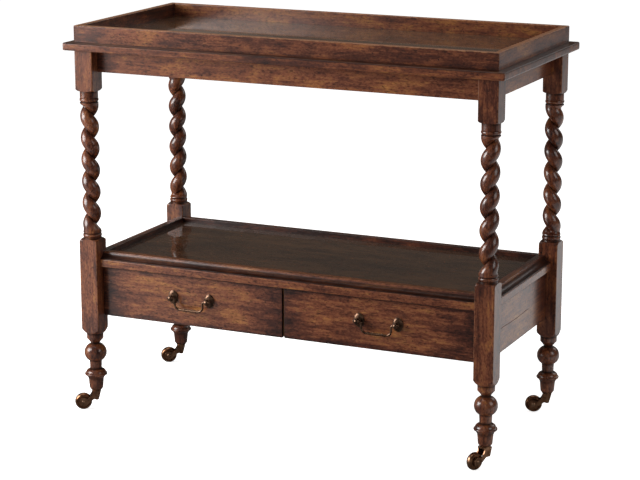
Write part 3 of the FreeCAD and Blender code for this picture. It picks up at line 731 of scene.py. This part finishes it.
# heights and radii of the turning in mm
post = {
    "cornerRound": 1.7 * mm, "columns": 64, "blockStep": 5 * mm, "turnStep": 1.1 * mm, "twistStep": 0.8 * mm,
    "caster": 47, "foot": 130, "lowerBlock": 216.5, "lowerCollar": 14, "pitch": 48, "turns": 6,
    "upperCollar": 25, "upperBlock": 90.5, "ridge": 20.2, "groove": 7.4, "runout": 12,
    "neck": 19.7, "quirk": 18.2, "bead": 20.7, "beadRise": 8.5, "quirkRise": 2, "stock": 32.4,
    "arrisColumns": (-4.0, -2.6, -1.3, 0.0, 1.3, 2.6, 4.0), "arris": 0.655, "arrisSoft": 0.035,
    "nearRings": 6, "lift": 1.6 * mm, "ridgeWear": 0.45, "grooveWear": -1.2,
    "endRadius": 12.2, "footCollar": 18.4, "shoulder": 27.4, "shoulderRise": 18,
}
# rise of each step of the turned foot, the radius at its end and, on a curve, the radius half way, in mm
foot = {
    "end": (4, 15), "cup": (20.5, 16.8), "flare": (8.5, 22.8, 18.9), "ring": (5.6, 22.4, 24.8),
    "bead": (8.4, 14.6, 20.8), "beadFillet": (1, 12.8), "stem": (19, 13.6), "ballSeat": (0, 14.2),
    "ball": (37.2, 14.2, 24.7), "ballFillet": (1.5, 9.8), "waist": (2, 9.8), "bell": (10.3, 18.2, 13.5),
}
twistHand = {"front_left": -1, "front_right": 1, "back_left": 1, "back_right": -1}
grooveStart = {"front_left": 162, "front_right": 46, "back_left": 205, "back_right": 336}


# radius and height of the turned blank from its end up, with a plain shaft where the twist goes
def turnedBlank():
    neck, quirk, ridge, stock = (post[key] for key in ("neck", "quirk", "ridge", "stock"))
    down, twistRise = stock - neck, post["pitch"] * post["turns"]
    bulge = neck + down * math.sqrt(3) / 2  # half way over the rounded end of a block
    bead, fillet = (post["beadRise"], quirk, post["bead"]), (post["quirkRise"], quirk)
    steps = list(foot.values()) + [
        (post["foot"] - sum(step[0] for step in foot.values()), post["footCollar"]),
        (post["shoulderRise"], stock, post["shoulder"]),
        (post["lowerBlock"] - post["shoulderRise"] - down, stock),
        (down, neck, bulge),
        (post["lowerCollar"] - bead[0] - fillet[0], neck),
        (0, quirk), bead, fillet, (0, ridge),
        (twistRise, ridge),
        (0, quirk), fillet, bead, (0, neck),
        (post["upperCollar"] - fillet[0] - bead[0], neck),
        (down, stock, bulge),
        (post["upperBlock"] - down, stock),
    ]
    radius, height = post["endRadius"], post["caster"]
    rings = [(radius, height)]
    for rise, endRadius, *middle in steps:
        end = (endRadius, height + rise)
        spacing = post["twistStep"] if rise == twistRise else post["turnStep"]
        if radius == endRadius == stock:
            spacing = post["blockStep"]
        count = max(4 if middle else 1, round(rise * mm / spacing))
        if middle:
            rings += arcThrough((radius, height), (middle[0], height + rise / 2), end, count)
        else:
            shares = [(i + 1) / count for i in range(count)]
            rings += [(radius + (endRadius - radius) * share, height + rise * share) for share in shares]
        radius, height = end
    return [(r * mm, h * mm) for r, h in rings]


# distance from the axis to a rounded square along an angle
def squareReach(angle):
    half, corner = postSide / 2, post["cornerRound"]
    x, y = abs(math.cos(angle)), abs(math.sin(angle))
    flat = half / max(x, y)
    if min(x, y) * flat <= half - corner:
        return flat
    along = (half - corner) * (x + y)
    return along + math.sqrt(along ** 2 - 2 * (half - corner) ** 2 + corner ** 2)


# a node tree from a geometry, some numbers and a finish to a geometry, with the values that come in
def newTree(name, blank, numbers, finish, result):
    tree = bpy.data.node_groups.new(name, "GeometryNodeTree")
    tree.interface.new_socket(blank, in_out="INPUT", socket_type="NodeSocketGeometry")
    for number in numbers:
        tree.interface.new_socket(number, in_out="INPUT", socket_type="NodeSocketFloat")
    tree.interface.new_socket(finish, in_out="INPUT", socket_type="NodeSocketMaterial")
    tree.interface.new_socket(result, in_out="OUTPUT", socket_type="NodeSocketGeometry")
    return tree, {socket.name: socket for socket in addNode(tree, "NodeGroupInput").outputs if socket.name}


# ends a tree with real geometry in its finish
def endTree(tree, geometry, finish):
    real = addNode(tree, "GeometryNodeRealizeInstances", {0: geometry})
    dressed = addNode(tree, "GeometryNodeSetMaterial", {"Geometry": real.outputs[0], "Material": finish})
    addNode(tree, "NodeGroupOutput", {0: dressed.outputs[0]})
    return tree


# cuts the twist: each point of the shaft turns about Z with its height and drops from ridge to groove
def twistTree():
    numbers = ("bottom", "pitch", "turns", "ridge", "groove", "runout", "hand", "start")
    tree, values = newTree("cutTwist", "blank", numbers, "wood", "post")
    place = addNode(tree, "GeometryNodeInputPosition").outputs[0]
    values["x"], values["y"], values["z"] = addNode(tree, "ShaderNodeSeparateXYZ", {0: place}).outputs
    addSums(tree, values, [
        ("along", "SUBTRACT", "z", "bottom"),
        ("length", "MULTIPLY", "pitch", "turns"),
        ("left", "SUBTRACT", "length", "along"),
        ("fromEnd", "MINIMUM", "along", "left"),
        ("onShaft", "GREATER_THAN", "fromEnd", 0.01 * mm),
        ("angle", "ARCTAN2", "y", "x"),
        ("fromGroove", "SUBTRACT", "angle", "start"),
        ("wrapped", "FLOORED_MODULO", "fromGroove", 2 * math.pi),
        ("half", "MULTIPLY", "pitch", 0.5),
        ("share", "DIVIDE", "wrapped", math.pi),
        ("offShare", "SUBTRACT", "share", 1.0),
        ("off", "MULTIPLY", "offShare", "half"),
        ("relief", "SUBTRACT", "ridge", "groove"),
        ("halfSquare", "MULTIPLY", "half", "half"),
        ("squares", "MULTIPLY_ADD", "relief", "relief", "halfSquare"),
        ("twiceRelief", "MULTIPLY", "relief", 2.0),
        ("bow", "DIVIDE", "squares", "twiceRelief"),
        ("bowSquare", "MULTIPLY", "bow", "bow"),
        ("offSquare", "MULTIPLY", "off", "off"),
        ("under", "SUBTRACT", "bowSquare", "offSquare"),
        ("stand", "SQRT", "under"),
        ("drop", "SUBTRACT", "bow", "stand"),
    ])
    addRanges(tree, values, {"run": ("fromEnd", 0.0, "runout", 0.0, 1.0)}, interpolation_type="SMOOTHSTEP")
    addSums(tree, values, [
        ("cut", "MULTIPLY", "drop", "run"),
        ("radius", "SUBTRACT", "ridge", "cut"),
        ("turned", "DIVIDE", "along", "pitch"),
        ("turnedAngle", "MULTIPLY", "turned", 2 * math.pi),
        ("newAngle", "MULTIPLY_ADD", "turnedAngle", "hand", "angle"),
        ("cosine", "COSINE", "newAngle"),
        ("sine", "SINE", "newAngle"),
        ("newX", "MULTIPLY", "cosine", "radius"),
        ("newY", "MULTIPLY", "sine", "radius"),
        ("depthShare", "DIVIDE", "cut", "relief"),
        # the wear falls below 0 towards each groove: painted shade in the grooves
        ("wear", "MULTIPLY_ADD", "depthShare", post["grooveWear"], post["ridgeWear"]),
    ])
    moved = addNode(tree, "ShaderNodeCombineXYZ", {0: values["newX"], 1: values["newY"], 2: values["z"]})
    onShaft = values["onShaft"]
    inputs = {"Geometry": values["blank"], "Selection": onShaft, "Name": "wear", "Value": values["wear"]}
    stored = addNode(tree, "GeometryNodeStoreNamedAttribute", inputs, data_type="FLOAT", domain="POINT")
    inputs = {"Geometry": stored.outputs[0], "Selection": onShaft, "Position": moved.outputs[0]}
    return endTree(tree, addNode(tree, "GeometryNodeSetPosition", inputs).outputs[0], values["wood"])


# sets a node tree on a piece by the identifiers of its named inputs and turns the result into a mesh
def runTree(piece, tree, settings):
    modifier = piece.modifiers.new(tree.name, "NODES")
    modifier.node_group = tree
    for item in tree.interface.items_tree:
        if item.in_out == "INPUT" and item.name in settings:
            modifier[item.identifier] = settings[item.name]
    return settle(piece)


twist = twistTree()
rings = turnedBlank()
footTop = (post["caster"] + post["foot"]) * mm
twistBottom = footTop + (post["lowerBlock"] + post["lowerCollar"]) * mm
for i, (corner, (sx, sy)) in enumerate(corners.items()):
    start = math.radians(grooveStart[corner])
    columns, turn = post["columns"], 2 * math.pi
    angles = {round((start + turn * k / columns) % turn, 6) for k in range(columns)}
    for k in range(4):
        for degrees in post["arrisColumns"]:
            angles.add(round(math.radians(45 + 90 * k + degrees), 6))
    angles = sorted(angles)
    squares = [squareReach(a) for a in angles]
    points, exposed, reaches = [], [], []
    for radius, height in rings:
        squared = height >= footTop - 0.01 * mm
        reaches.append([min(radius, reach) if squared else radius for reach in squares])
    for j, (radius, height) in enumerate(rings):
        for k, a in enumerate(angles):
            r = reaches[j][k]
            points.append((r * math.cos(a), r * math.sin(a), height))
            # rings sunk below their neighbours get wear below 0, which paints shade into the coves; raised
            # rings and arrises wear paler
            near = [row[k] for row in reaches[max(0, j - post["nearRings"]):j + post["nearRings"] + 1]]
            lift = (r - sum(near) / len(near)) / post["lift"]
            beside = min(1.0, max(0.0, (squares[k] / postSide - post["arris"]) / post["arrisSoft"]))
            exposed.append(beside if r < radius else max(-1.0, min(0.6, lift)))
    mesh = bpy.data.meshes.new("postBlank")
    mesh.from_pydata(points, [], loftFaces(len(rings), len(angles)))
    setValues(mesh, "wear", exposed)
    piece = newPiece("twistPost" + label(corner), mesh)
    wood = agedMahogany("waxedPost" + label(corner), "z", 31.6 + i, shade=0.08)
    settings = {key: post[key] * mm for key in ("pitch", "ridge", "groove", "runout")}
    settings |= {"bottom": twistBottom, "turns": float(post["turns"]), "start": start, "wood": wood}
    settings["hand"] = float(twistHand[corner])
    runTree(piece, twist, settings)
    cleaned(piece.data)
    piece.data.transform(Matrix.Translation((sx * (frameX - postSide / 2), sy * (frameY - postSide / 2), 0)))
    dress(piece, wood, "polished_wood", "frame", "post_" + corner)
print("posts ready:", len(piece.data.vertices), "points each")


# Drawers

drawer = {"lip": 7 * mm, "round": 1.8 * mm, "cell": 8 * mm, "segments": 4, "coreDrop": 5 * mm}
dovetail = {"tails": 3, "tip": 0.78, "root": 0.58}
for i, hand in enumerate(("left", "right")):
    node = "drawer_" + hand + "_"
    low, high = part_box(node + "front")
    plateHigh = Vector((high.x, low.y + drawer["lip"], high.z))
    mesh = slab("front", low, plateHigh, 1, drawer)
    weather(mesh, 40 + i)
    # the top and side edges of the front are painted shade, dark like the gaps beside them
    glaze(mesh, lambda v: v.normal.z > 0.2 or abs(v.normal.x) > 0.2, 0.6)
    # the core behind the lip, between the drawer sides, and the pins between their tails
    sideBoxes = [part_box(node + part) for part in ("outer_side", "inner_side")]
    sideBoxes.sort(key=lambda box: box[0].x)
    bottom, top = sideBoxes[0][0].z, sideBoxes[0][1].z
    core = bmesh.new()
    core.from_mesh(mesh)
    coreLow = Vector((sideBoxes[0][1].x, plateHigh.y, bottom))
    coreHigh = Vector((sideBoxes[1][0].x, high.y, high.z - drawer["coreDrop"]))
    size = Matrix.Diagonal((*(coreHigh - coreLow), 1))
    bmesh.ops.create_cube(core, size=1.0, matrix=Matrix.Translation((coreLow + coreHigh) / 2) @ size)
    pitch = (top - bottom) / dovetail["tails"]
    for boxLow, boxHigh in sideBoxes:
        for k in range(dovetail["tails"] + 1):
            centre = bottom + pitch * k
            tip, root = pitch * (1 - dovetail["tip"]) / 2, pitch * (1 - dovetail["root"]) / 2
            ring = [(plateHigh.y, -tip), (plateHigh.y, tip), (high.y, root), (high.y, -root)]
            ends = (boxLow.x, boxHigh.x)
            points = [(x, y, min(top, max(bottom, centre + rise))) for x in ends for y, rise in ring]
            core.from_mesh(meshFrom("pin", points, loftFaces(2, len(ring))))
    bmesh.ops.recalc_face_normals(core, faces=core.faces)
    core.to_mesh(mesh)
    core.free()
    # the right-hand drawer is set darker: partly offsetting its paler grain, partly painted shade where less
    # light falls
    wood = agedMahogany("waxedDrawer" + label(hand), "x", 43.3 + 2.4 * i, shade=-0.04 - 0.09 * i)
    piece = newPiece("drawerFront" + label(hand), mesh)
    dress(piece, wood, "polished_wood", "drawer_" + hand, node + "front")

# CAD pieces that are shown as they are take a finish
oak = {grain: bareOak("bareOak" + grain.upper(), grain, 3.7) for grain in "xy"}
for node, piece in frame["nodes"].items():
    finish = None
    if node.endswith(("_side", "_bottom")) or node.startswith(("runner", "drawer_divider")):
        finish = oak["y"]
    elif node in ("drawer_rail", "drawer_left_back", "drawer_right_back"):
        finish = oak["x"]
    elif node in ("top_screws", "caster_screws", "pull_nuts_left", "pull_nuts_right"):
        finish = steel
    elif node in ("caster_plates", "caster_king_pins"):
        finish = casterBrass
    if finish:
        piece.data.materials.clear()
        piece.data.materials.append(finish)
print("drawers ready")


# Drop pulls: rosettes and studs in pairs, and the swinging bail

pull = {
    "centres": 88 * mm, "reach": 13 * mm, "ball": 6.8 * mm, "neck": 3.4 * mm, "shank": 2.0 * mm,
    "ring": 1.1 * mm, "rosetteWide": 24 * mm, "rosetteTall": 31 * mm, "rim": 1.3 * mm, "dome": 4.2 * mm,
    "rod": 2.3 * mm, "hole": 2.6 * mm, "width": 68 * mm, "drop": 23 * mm, "corner": 12 * mm, "bend": 4 * mm,
    "knob": 3.1 * mm, "past": 1.5 * mm, "front": 18 * mm, "thread": 6 * mm, "grip": 0.5 * mm, "domeAngle": 66,
}


# sets a pair of a piece, a distance apart along X
def pairTree():
    tree, values = newTree("pullPair", "one", ["centres"], "metal", "pair")
    addSums(tree, values, [("firstX", "MULTIPLY", "centres", -0.5)])
    first = addNode(tree, "ShaderNodeCombineXYZ", {0: values["firstX"]}).outputs[0]
    apart = addNode(tree, "ShaderNodeCombineXYZ", {0: values["centres"]}).outputs[0]
    line = addNode(tree, "GeometryNodeMeshLine", {"Count": 2, "Start Location": first, "Offset": apart})
    inputs = {"Points": line.outputs[0], "Instance": values["one"]}
    both = addNode(tree, "GeometryNodeInstanceOnPoints", inputs)
    return endTree(tree, both.outputs[0], values["metal"])


pair = pairTree()
outwards = Matrix.Rotation(math.pi / 2, 4, "X")  # lays a turned piece along the front, out towards -Y


def brassWear(mesh, share=0.4):
    exposed = [0.35 - vertex.normal.y * 0.9 for vertex in mesh.vertices]
    setValues(mesh, "wear", [share * max(0.0, min(1.0, level)) for level in exposed])


def studMesh():
    ball, reach, neck, ring, dome = (pull[key] for key in ("ball", "reach", "neck", "ring", "dome"))
    neckEnd, threadEnd = reach - math.sqrt(ball ** 2 - neck ** 2), -pull["front"] - pull["thread"]
    outline = [(0, threadEnd), (pull["shank"], threadEnd), (pull["shank"], pull["rim"])]
    outline += [(neck + ring, dome - 0.6 * mm)]
    outline += arcThrough(outline[-1], (neck + 1.5 * ring, dome + 0.4 * mm), (neck, dome + 1.6 * mm), 6)
    outline += [(neck, neckEnd)]
    low = math.asin((neckEnd - reach) / ball)
    for k in range(1, 21):
        angle = low + (math.pi / 2 - low) * k / 20
        outline.append((ball * math.cos(angle) if k < 20 else 0, reach + ball * math.sin(angle)))
    return lathe("stud", outline, 40)


def rosetteMesh():
    wide, tall = pull["rosetteWide"] / 2, pull["rosetteTall"] / 2
    hole, rim, rise = pull["shank"] / wide, pull["rim"], pull["dome"] - pull["rim"]
    outline = [(hole, 0), (0.97, 0), (1.0, 0.3 * mm), (1.0, rim - 0.3 * mm), (0.975, rim), (0.93, rim)]
    for k in range(13):
        angle = math.radians(pull["domeAngle"]) * k / 12
        outline.append((0.90 * math.cos(angle), rim + 0.2 * mm + rise * math.sin(angle)))
    outline.append((hole, outline[-1][1]))
    mesh = lathe("rosette", outline, 56, closed=True)
    mesh.transform(Matrix.Diagonal((wide, tall, 1, 1)))
    return mesh


def bailMesh():
    half, tip = pull["width"] / 2, pull["centres"] / 2 + pull["ball"] + pull["past"]
    corner, drop, rise = pull["corner"], pull["drop"], pull["bend"]
    right = [(0, -drop), (half - corner, -drop)]
    inset = corner * eighth
    right += arcThrough(right[-1], (half - inset, inset - drop), (half, corner - drop), 10)
    right += [(half, -rise)]
    right += arcThrough(right[-1], (half + rise * eighth, -rise * eighth), (half + rise, 0), 8)
    right += [(tip - back * mm, 0) for back in (3.4, 2.9, 1.6, 0.5, 0)]
    path = [(-x, z) for x, z in reversed(right[1:])] + right
    swell = (0.5, 0.88, 1.0, 0.85)  # the knob at each end, by its own radius
    around = 16
    points = []
    for i, (x, z) in enumerate(path):
        ax, az = path[max(0, i - 1)]
        bx, bz = path[min(len(path) - 1, i + 1)]
        length = math.hypot(bx - ax, bz - az)
        nx, nz = -(bz - az) / length, (bx - ax) / length
        fromEnd = min(i, len(path) - 1 - i)
        grip = max(0.0, 1 - abs(x) / half) * pull["grip"] if z < -drop * 0.9 else 0.0
        radius = swell[fromEnd] * pull["knob"] if fromEnd < len(swell) else pull["rod"] + grip
        for k in range(around):
            angle = 2 * math.pi * k / around
            c, s = radius * math.cos(angle), radius * math.sin(angle)
            points.append((x + nx * c, -pull["reach"] + s, z + nz * c))
    return meshFrom("bail", points, loftFaces(len(path), around))


joints = {joint["name"]: joint for joint in frame["joints"]}
for hand in ("left", "right"):
    pivot = Vector(joints["bail_" + hand + "_swing"]["pos_m"])
    seat = Vector((pivot.x, pivot.y + pull["reach"], pivot.z))
    body = "drawer_" + hand
    stud = newPiece("ballStuds" + label(hand), studMesh())
    bore = bmesh.new()
    turn = Matrix.Translation((0, 0, pull["reach"])) @ Matrix.Rotation(math.pi / 2, 4, "Y")
    bmesh.ops.create_cone(bore, cap_ends=True, segments=28, radius1=pull["hole"], radius2=pull["hole"],
                          depth=4 * pull["ball"], matrix=turn)
    cutAway(stud, meshOf("bailHole", bore))
    rosette = newPiece("ovalRosettes" + label(hand), rosetteMesh())
    for piece, node in ((stud, "pull_studs_" + hand), (rosette, "pull_rosettes_" + hand)):
        piece.data.transform(outwards)
        brassWear(piece.data)
        runTree(piece, pair, {"centres": pull["centres"], "metal": brass})
        piece.data.transform(Matrix.Translation(seat))
        dress(piece, brass, "aged_brass", body, node, crease=40)
    mesh = bailMesh()
    brassWear(mesh)
    mesh.transform(Matrix.Translation(seat))
    bail = newPiece("swanBail" + label(hand), mesh)
    dress(bail, brass, "aged_brass", "bail_" + hand, "bail_" + hand, crease=50)
print("pulls ready")


# Casters: folded forks softened from their solids, turned wheels, axles, plates and king pins

caster = {
    "wheel": 19 * mm, "shoulder": 15.6 * mm, "width": 15 * mm, "hub": 8 * mm, "rim": 13.2 * mm,
    "dish": 2 * mm, "bore": 2.56 * mm, "axle": 2.5 * mm, "axleHead": 4 * mm, "axleHeadRise": 1.6 * mm,
    "fork": 22 * mm, "forkRound": 0.45 * mm, "axleWear": 0.8,
}


# a merged copy of a CAD node with its sharp edges rounded over
def softened(name, node, radius):
    solid = bmesh.new()
    solid.from_mesh(frame["nodes"][node].data)
    bmesh.ops.remove_doubles(solid, verts=solid.verts, dist=0.005 * mm)
    bmesh.ops.dissolve_limit(solid, angle_limit=math.radians(1), verts=solid.verts, edges=solid.edges)
    roundEdges(solid, math.radians(40), radius, 2)
    bmesh.ops.triangulate(solid, faces=[face for face in solid.faces if len(face.verts) > 4])
    return meshOf(name, solid)


def wheelMesh():
    half = caster["width"] / 2
    hollow = half - caster["dish"]
    near = [
        (caster["bore"], -half, 0),
        (caster["hub"], -half, 0.6 * mm),
        (caster["hub"] + 0.3 * mm, -hollow, 0.6 * mm),
        (caster["rim"], -hollow, 0.6 * mm),
        (caster["rim"] + 0.3 * mm, -half, 0.6 * mm),
        (caster["shoulder"], -half, 0),
    ]
    far = [(r, -h, k) for r, h, k in reversed(near)]
    outline = roundedOutline(near + far, 4)
    half = len(outline) // 2
    tread = arcThrough(outline[half - 1], (caster["wheel"], 0), outline[half], 16)
    return lathe("wheel", outline[:half] + tread[:-1] + outline[half:], 64, closed=True)


def axleMesh():
    half, head = caster["fork"] / 2, caster["axleHead"]
    top = half + caster["axleHeadRise"]
    outline = [(0, top), (0.55 * head, top - 0.15 * mm), (0.85 * head, top - 0.6 * mm)]
    outline += [(head, half + 0.4 * mm), (head, half), (caster["axle"], half)]
    outline += [(r, -h) for r, h in reversed(outline)]
    return lathe("axle", outline, 32)


for corner in corners:
    spin = joints["wheel_" + corner + "_spin"]
    turn = Vector(spin["axis"]).to_track_quat("Z", "Y").to_matrix().to_4x4()
    place = Matrix.Translation(spin["pos_m"]) @ turn
    wheel, axle = wheelMesh(), axleMesh()
    outwardShares = [v.co.xy.length / caster["wheel"] for v in wheel.vertices]
    setValues(wheel, "wear", [0.5 * max(0.0, min(1.0, (share - 0.86) * 7)) for share in outwardShares])
    setValues(axle, "wear", [caster["axleWear"]] * len(axle.vertices))
    turnedParts = [
        ("casterWheel", wheel, "wheel_", "caster_wheel_"),
        ("casterAxle", axle, "caster_", "caster_axle_"),
    ]
    for name, mesh, body, node in turnedParts:
        mesh.transform(place)
        piece = newPiece(name + label(corner), mesh)
        dress(piece, casterBrass, "aged_brass", body + corner, node + corner, crease=40)
    mesh = softened("fork", "caster_fork_" + corner, caster["forkRound"])
    edges = [1 - max(abs(c) for c in v.normal) for v in mesh.vertices]
    setValues(mesh, "wear", [min(1.0, edge * 2.5) * 0.8 for edge in edges])
    fork = newPiece("casterFork" + label(corner), mesh)
    dress(fork, casterBrass, "aged_brass", "caster_" + corner, "caster_fork_" + corner, crease=40)
print("casters ready")


# Studio: pale floor, soft light from the left and above, camera at the photograph's angle

studio = {
    "floorSize": 60.0, "floorDrop": 0.3 * mm, "floorGlow": (0.80, 1.0), "whiteFrom": (0.8, 2.2),
    "mirrorGlow": 0.86, "litFloor": (2.0, 8.5), "frontFloor": (1.0, 0.1), "frontSpan": (-0.35, 0.15),
    "rightFloor": (0.16, 1.0), "rightSpan": (0.5, 0.7), "frontToRight": (-0.7, -0.2),
    "viewAcross": (0.906, -0.423, 0.0), "warmRoom": "#fff0e2", "ambient": 0.06, "darkRoom": 0.085,
    "paleWall": 0.28, "camera": (1.858, -4.052, 1.464), "cameraYaw": 24.67, "cameraPitch": 13.53,
    "focalPixels": 2090.4, "sensor": 36.0, "pixelsWide": 640,
}
lamps = {
    "keyBox": {"place": (-2.2, -1.5, 1.1), "aim": (0.0, 0.0, 0.5), "size": (1.4, 1.4), "power": 74},
    "slantBox": {"place": (-1.5, -1.8, 1.45), "aim": (0.0, 0.0, 0.6), "size": (0.9, 0.9), "power": 14},
    "topBox": {"place": (-0.4, 0.2, 2.7), "aim": (-0.1, 0.0, 0.8), "size": (2.6, 2.2), "power": 26},
    "frontFill": {"place": (0.9, -3.6, 1.2), "aim": (0.0, 0.0, 0.5), "size": (2.4, 1.8), "power": 5},
    "rightFill": {"place": (2.9, -0.6, 1.7), "aim": (0.3, 0.0, 0.5), "size": (1.6, 1.6), "power": 20},
    "backFill": {"place": (1.6, 2.8, 2.2), "aim": (0.0, 0.0, 0.5), "size": (1.8, 1.4), "power": 14},
}
for name, lamp in lamps.items():
    light = bpy.data.lights.new(name, "AREA")
    light.shape = "RECTANGLE"
    light.size, light.size_y = lamp["size"]
    light.energy = lamp["power"]
    holder = newPiece(name, light)
    holder.location = lamp["place"]
    aim = Vector(lamp["aim"]) - Vector(lamp["place"])
    holder.rotation_euler = aim.to_track_quat("-Z", "Y").to_euler()
    holder.visible_camera = False


# what looks at the floor or the room
def lookers(tree):
    light = addNode(tree, "ShaderNodeLightPath").outputs
    rays = {"camera": "Is Camera Ray", "glossy": "Is Glossy Ray", "through": "Is Transmission Ray"}
    values = {name: light[ray] for name, ray in rays.items()}
    addSums(tree, values, [("direct", "MAXIMUM", "camera", "through")])
    return values


# white to the camera and through glass, a glow that fades with distance in a mirror, matt for other light
def paleFloor():
    material, tree, shader, place = newFinish("paleFloor")
    tree.nodes.remove(shader)
    values = lookers(tree)
    values["away"] = addNode(tree, "ShaderNodeVectorMath", {0: place}, operation="LENGTH").outputs["Value"]
    values["across"], values["ahead"] = addNode(tree, "ShaderNodeSeparateXYZ", {0: place}).outputs[:2]
    inputs = {0: place, 1: studio["viewAcross"]}
    aslant = addNode(tree, "ShaderNodeVectorMath", inputs, operation="DOT_PRODUCT")
    values["aslant"] = aslant.outputs["Value"]
    # in a mirror the floor glows brighter in front and to the right, though no lamp is there: a painted
    # reflection
    addRanges(tree, values, {
        "lit": ("away", *studio["litFloor"], studio["mirrorGlow"], 0.0),
        "white": ("away", *studio["whiteFrom"], *studio["floorGlow"]),
        "frontLit": ("aslant", *studio["frontSpan"], *studio["frontFloor"]),
        "rightLit": ("across", *studio["rightSpan"], *studio["rightFloor"]),
        "sideLit": ("ahead", *studio["frontToRight"], "frontLit", "rightLit"),
    })
    addSums(tree, values, [
        ("directGlow", "MULTIPLY", "direct", "white"),
        ("mirrorLit", "MULTIPLY", "lit", "sideLit"),
        ("glow", "MULTIPLY_ADD", "glossy", "mirrorLit", "directGlow"),
    ])
    matt = addNode(tree, "ShaderNodeBsdfDiffuse", {"Color": linear(finishes["floor"])})
    glow = addNode(tree, "ShaderNodeEmission", {"Color": (1, 1, 1, 1), "Strength": values["glow"]})
    both = addNode(tree, "ShaderNodeAddShader", {0: matt.outputs[0], 1: glow.outputs[0]})
    seen = addNode(tree, "ShaderNodeMixShader", {0: values["glossy"], 1: both.outputs[0], 2: glow.outputs[0]})
    feed(tree, tree.nodes["Material Output"], {0: seen.outputs[0]})
    return material


half = studio["floorSize"] / 2
floorPoints = [(x * half, y * half, 0) for x, y in ((-1, -1), (1, -1), (1, 1), (-1, 1))]
floorMesh = meshFrom("floor", floorPoints, [[0, 1, 2, 3]])
floor = newPiece("floor", floorMesh)
floorMesh.materials.append(paleFloor())
floor.location.z = cadBox[0].z - studio["floorDrop"]

# the room: white to the camera, dark to a mirror but for a pale wall low on the left, soft for the rest
world = bpy.data.worlds.new("studio")
scene.world = world
world.use_nodes = True
tree = world.node_tree
values = lookers(tree)
direction = addNode(tree, "ShaderNodeTexCoord").outputs["Generated"]
values["x"], values["y"], values["z"] = addNode(tree, "ShaderNodeSeparateXYZ", {0: direction}).outputs
wallEdges = {"left": ("x", -0.50, -0.41, 1.0, 0.0), "low": ("z", 0.10, 0.20, 1.0, 0.0)}
addRanges(tree, values, wallEdges, interpolation_type="SMOOTHSTEP")
addSums(tree, values, [
    ("seen", "MAXIMUM", "direct", "glossy"),
    ("other", "SUBTRACT", 1.0, "seen"),
    ("soft", "MULTIPLY_ADD", "other", studio["ambient"], "direct"),
    ("wall", "MULTIPLY", "left", "low"),
    ("mirrored", "MULTIPLY_ADD", "wall", studio["paleWall"], studio["darkRoom"]),
    ("strength", "MULTIPLY_ADD", "glossy", "mirrored", "soft"),
])
tone = layered(tree, (1, 1, 1, 1), [(values["glossy"], studio["warmRoom"])])
feed(tree, tree.nodes["Background"], {"Color": tone, "Strength": values["strength"]})

camera = bpy.data.cameras.new("camera")
camera.sensor_width = studio["sensor"]
camera.lens = studio["focalPixels"] * studio["sensor"] / studio["pixelsWide"]
camera.clip_end = 100
cameraHolder = newPiece("camera", camera)
cameraHolder.location = studio["camera"]
cameraHolder.rotation_euler = (math.radians(90 - studio["cameraPitch"]), 0, math.radians(studio["cameraYaw"]))
scene.camera = cameraHolder
scene.view_settings.view_transform = "Standard"
print("studio ready")
